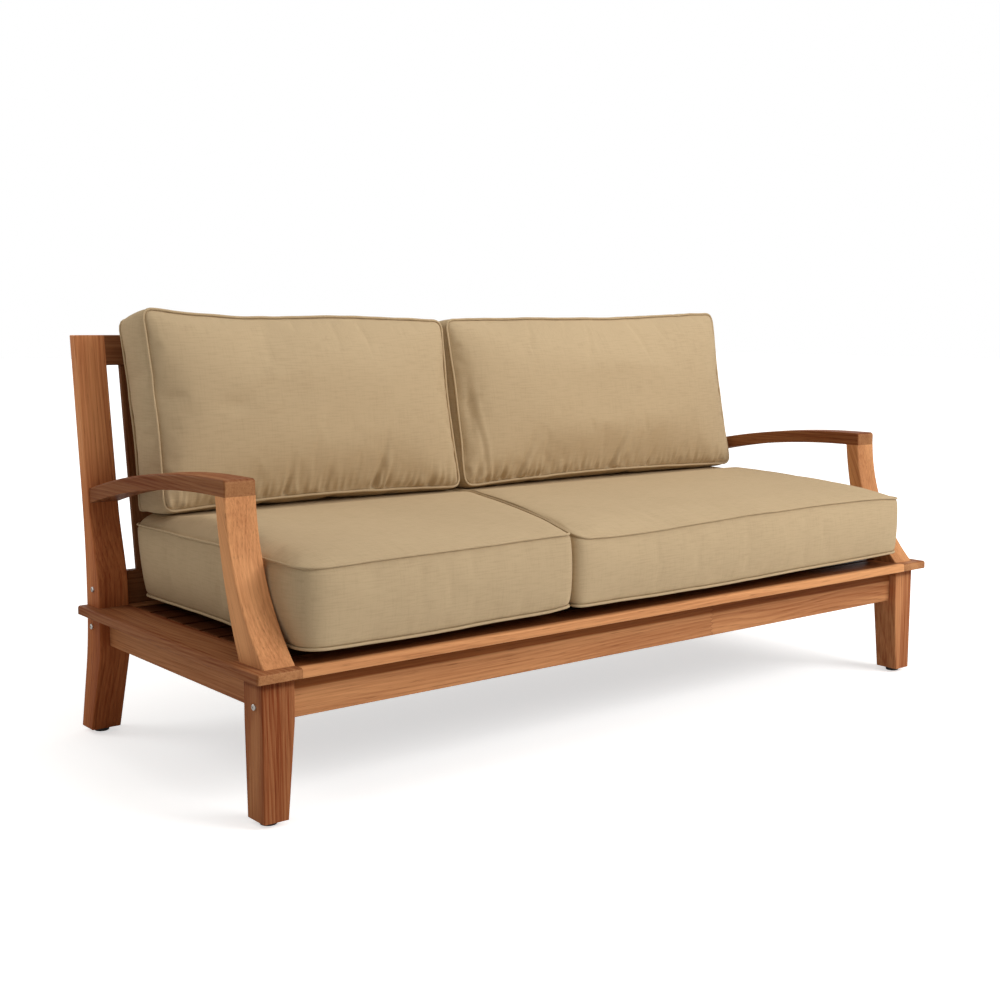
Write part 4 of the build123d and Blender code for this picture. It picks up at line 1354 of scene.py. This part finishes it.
# Parts the noise of puckers with unlike heights, and leaves out those too faint to see
PUCKER_SHIFT, PUCKER_FAINT = 900, 0.02
# Between these distances out of the seam's plane folds and puckers grow from nothing to full
FACE_RISE = (-0.002, 0.004)


class LOVESEAT_OT_back_cushions(bpy.types.Operator):
    """Makes the two boxed back cushions, leaning against the slats"""

    bl_idname = "loveseat.back_cushions"
    bl_label = "Make the back cushions"

    def execute(self, context):
        for side, word in SIDES.items():
            self.make(side, word)
        return {"FINISHED"}

    def make(self, side, word):
        seam = SEAM_REAR_X + SEAM_HALF * side
        low_x, high_x = sorted((seam, BACK_SIDE_X * side))
        corners = ((low_x, 0.0), (high_x, 0.0), (high_x, BACK_HEIGHT), (low_x, BACK_HEIGHT))
        cover = Cover(f"back_pad_{word}", corners, BACK_CUT[side], BACK_FINER)
        self.sag(cover, side)
        cover.build(BACK_BOXING, BACK_CROWN, BACK_REAR_CROWN, -side)
        size, rise = BACK_WAVES
        cover.points[:, 2] += [wavy(point, size, cover.seed) * rise for point in cover.points]
        cover.place((0.0, BACK_TOE_Y, BACK_TOE_Z), (1, 0, 0), BACK_UP, BACK_OUT)
        finish_cover(
            cover,
            held=np.unique(np.concatenate(cover.seams)),
            ease=look("loveseat_cushions").back_ease,
            limits=lambda points: self.limited(points, side),
            puckers=lambda own: self.puckers(own, side, low_x, high_x, cover.seed),
            radii=BACK_PIPING,
            body=f"back_{word}",
            node=f"back_cushion_{word}",
        )

    @staticmethod
    def sag(cover, side):
        """Lets the top edge hang between its corners."""
        lift = read_off(TOP_EDGE[side], np.linspace(0.0, 1.0, cover.nx + 1))
        window = 2 * SAG_STEPS + 1
        lift = np.convolve(np.pad(lift, SAG_STEPS, mode="edge"), np.ones(window) / window, mode="valid")
        cover.rear[:, 1] += lift
        for run, end in ((cover.left, lift[0]), (cover.right, lift[-1])):
            run[:, 1] += np.linspace(0.0, 1.0, len(run)) ** 2 * end

    @staticmethod
    def limited(points, side):
        """Keeps a cover on the seat, off the slats and clear of its neighbours."""
        x, y, z = points.T
        z = np.maximum(z, LANDING_Z + GAP)
        setback = read_off(SETBACKS, z)
        y = np.minimum(y, POST_FRONT_Y + setback - GAP - (POST_TOP_Z - z) * POST_LEAN)
        return np.stack((kept_beside(x, SEAM_REAR_X, side), y, z), axis=1)

    @staticmethod
    def puckers(own, side, low_x, high_x, seed):
        """Folds above the lower seam and puckers along all the seams of the face."""
        u, v, n = own.T
        total = np.zeros(len(u))
        for fold in FOLDS[side]:
            off = (u - fold.place - fold.lean * v) / fold.width
            fade = bell(v - fold.low, fold.length) * smooth_step(v, 0.0, FOLD_START)
            total += fold.height * fade * (bell(off, 1.0) - GIVE_SHARE * bell(off - GIVE_PLACE, 1.0))
        for run, away, (reach, height) in (
            (u, v, LOW_PUCKERS),
            (v, u - low_x, SIDE_PUCKERS),
            (v, high_x - u, SIDE_PUCKERS),
            (u, BACK_HEIGHT - v, TOP_PUCKERS),
        ):
            near = bell(away, reach) * smooth_step(away, 0.0, PUCKER_START)
            close = (near > PUCKER_FAINT).nonzero()[0]
            places = [(run[k], away[k] * PUCKER_STRETCH, height * PUCKER_SHIFT) for k in close]
            waves = [wavy(place, PUCKER_SIZE, seed) for place in places]
            total[close] += near[close] * np.array(waves) * height
        low, high = FACE_RISE
        return total * np.clip((n - low) / (high - low), 0.0, 1.0)


# The studio: the floor's colours, and how its own light grows from beside the seat outwards, in metres
FLOOR_REACH = 30.0
FLOOR_MOTTLE = Noise((3.0, 3.0, 3.0), 3.0, 0.5)
FLOOR_COLOURS = ((0.86, 0.86, 0.86, 1.0), (0.89, 0.89, 0.89, 1.0))
FLOOR_GLOW = (1.3, 3.0, 0.60, 1.0)
# Each lamp: place, width and height, and its share of the key light's power
LAMPS = {
    "key": ((1.9, -3.4, 2.7), (2.4, 1.8), 1.0),
    "top": ((0.2, -0.4, 3.4), (3.0, 2.0), 0.30),
    "side": ((-1.9, 1.0, 1.5), (0.8, 0.8), 0.052),
}
LAMP_TARGET = (0.0, 0.0, 0.4)
SENSOR_WIDTH = 36.0


class LOVESEAT_OT_studio(bpy.types.Operator):
    """Sets up the floor, the light and the camera"""

    bl_idname = "loveseat.studio"
    bl_label = "Set up the studio"

    def execute(self, context):
        self.floor()
        self.world()
        self.lamps()
        self.camera()
        context.scene.view_settings.view_transform = "Standard"
        return {"FINISHED"}

    @staticmethod
    def floor():
        data = bpy.data.meshes.new("floor")
        signs = ((-1, -1), (1, -1), (1, 1), (-1, 1))
        corners = [(x * FLOOR_REACH, y * FLOOR_REACH, 0.0) for x, y in signs]
        data.from_pydata(corners, [], [(0, 1, 2, 3)])
        piece = linked("floor", data)
        material, tree, shader = new_material("studio floor")
        place = object_place(tree)
        colour = blend_colour(tree, soft_noise(tree, place, FLOOR_MOTTLE), *FLOOR_COLOURS)
        tree.links.new(colour, shader.inputs["Base Color"])
        shader.inputs["Roughness"].default_value = 0.9
        shader.inputs["Specular IOR Level"].default_value = 0.1
        rays = add(tree, "ShaderNodeLightPath").outputs
        away = add(tree, "ShaderNodeVectorMath", {"operation": "LENGTH"}, {0: place}).outputs["Value"]
        seen = maths(tree, "MULTIPLY", rays["Is Camera Ray"], ranged(tree, away, *FLOOR_GLOW))
        glow = add(tree, "ShaderNodeCombineXYZ", inputs={"X": seen, "Y": seen, "Z": seen}).outputs[0]
        tree.links.new(glow, shader.inputs["Emission Color"])
        shader.inputs["Emission Strength"].default_value = 1.0
        data.materials.append(material)

    @staticmethod
    def world():
        studio = look("loveseat_studio")
        world = bpy.data.worlds.new("studio")
        bpy.context.scene.world = world
        world.use_nodes = True
        tree = world.node_tree
        tree.nodes.clear()
        rays = add(tree, "ShaderNodeLightPath").outputs
        direct = maths(tree, "MAXIMUM", rays["Is Camera Ray"], rays["Is Transmission Ray"])
        direct = maths(tree, "MAXIMUM", direct, rays["Is Glossy Ray"])
        strength = maths(tree, "MULTIPLY_ADD", direct, 1.0 - studio.room, studio.room)
        colour = blend_colour(tree, direct, tuple(studio.room_colour), (1.0, 1.0, 1.0, 1.0))
        glow = add(tree, "ShaderNodeBackground", inputs={"Color": colour, "Strength": strength})
        output = add(tree, "ShaderNodeOutputWorld", inputs={"Surface": glow.outputs[0]})
        output.is_active_output = True

    @staticmethod
    def lamps():
        for name, (place, size, share) in LAMPS.items():
            data = bpy.data.lights.new(name, "AREA")
            data.shape = "RECTANGLE"
            data.size, data.size_y = size
            data.energy = look("loveseat_studio").key * share
            piece = linked(name, data)
            piece.location = place
            away = Vector(LAMP_TARGET) - Vector(place)
            piece.rotation_euler = away.to_track_quat("-Z", "Y").to_euler()

    @staticmethod
    def camera():
        studio = look("loveseat_studio")
        turn, dip, roll = studio.camera_turn, studio.camera_dip, studio.camera_roll
        ahead = Vector((math.sin(turn) * math.cos(dip), math.cos(turn) * math.cos(dip), -math.sin(dip)))
        right = Vector((math.cos(turn), -math.sin(turn), 0.0))
        up = right.cross(ahead)
        side = right * math.cos(roll) + up * math.sin(roll)
        top = up * math.cos(roll) - right * math.sin(roll)
        data = bpy.data.cameras.new("camera")
        data.lens = studio.lens
        data.sensor_width = SENSOR_WIDTH
        data.sensor_fit = "HORIZONTAL"
        piece = linked("camera", data)
        rows = Matrix((side, top, -ahead)).transposed().to_4x4()
        piece.matrix_world = Matrix.Translation(studio.camera_place) @ rows
        bpy.context.scene.camera = piece


class LOVESEAT_PT_panel(bpy.types.Panel):
    """Lists the loveseat's steps and settings"""

    bl_idname = "LOVESEAT_PT_panel"
    bl_label = "Loveseat"
    bl_space_type = "VIEW_3D"
    bl_region_type = "UI"
    bl_category = "Loveseat"

    def draw(self, context):
        for operator in OPERATORS:
            self.layout.operator(operator.bl_idname)
        for name, group in LOOKS.items():
            box = self.layout.box()
            for key in group.__annotations__:
                box.prop(getattr(context.scene, name), key)


OPERATORS = (
    LOVESEAT_OT_boards,
    LOVESEAT_OT_fittings,
    LOVESEAT_OT_seat_cushions,
    LOVESEAT_OT_back_cushions,
    LOVESEAT_OT_studio,
)


def register():
    for name, group in LOOKS.items():
        bpy.utils.register_class(group)
        setattr(bpy.types.Scene, name, PointerProperty(type=group))
    for kind in OPERATORS + (LOVESEAT_PT_panel,):
        bpy.utils.register_class(kind)


def unregister():
    for kind in reversed(OPERATORS + (LOVESEAT_PT_panel,)):
        bpy.utils.unregister_class(kind)
    for name, group in LOOKS.items():
        delattr(bpy.types.Scene, name)
        bpy.utils.unregister_class(group)


def main():
    register()
    bpy.ops.loveseat.boards()
    bpy.ops.loveseat.fittings()
    bpy.ops.loveseat.seat_cushions()
    bpy.ops.loveseat.back_cushions()
    bpy.ops.loveseat.studio()


if __name__ == "__main__":
    main()
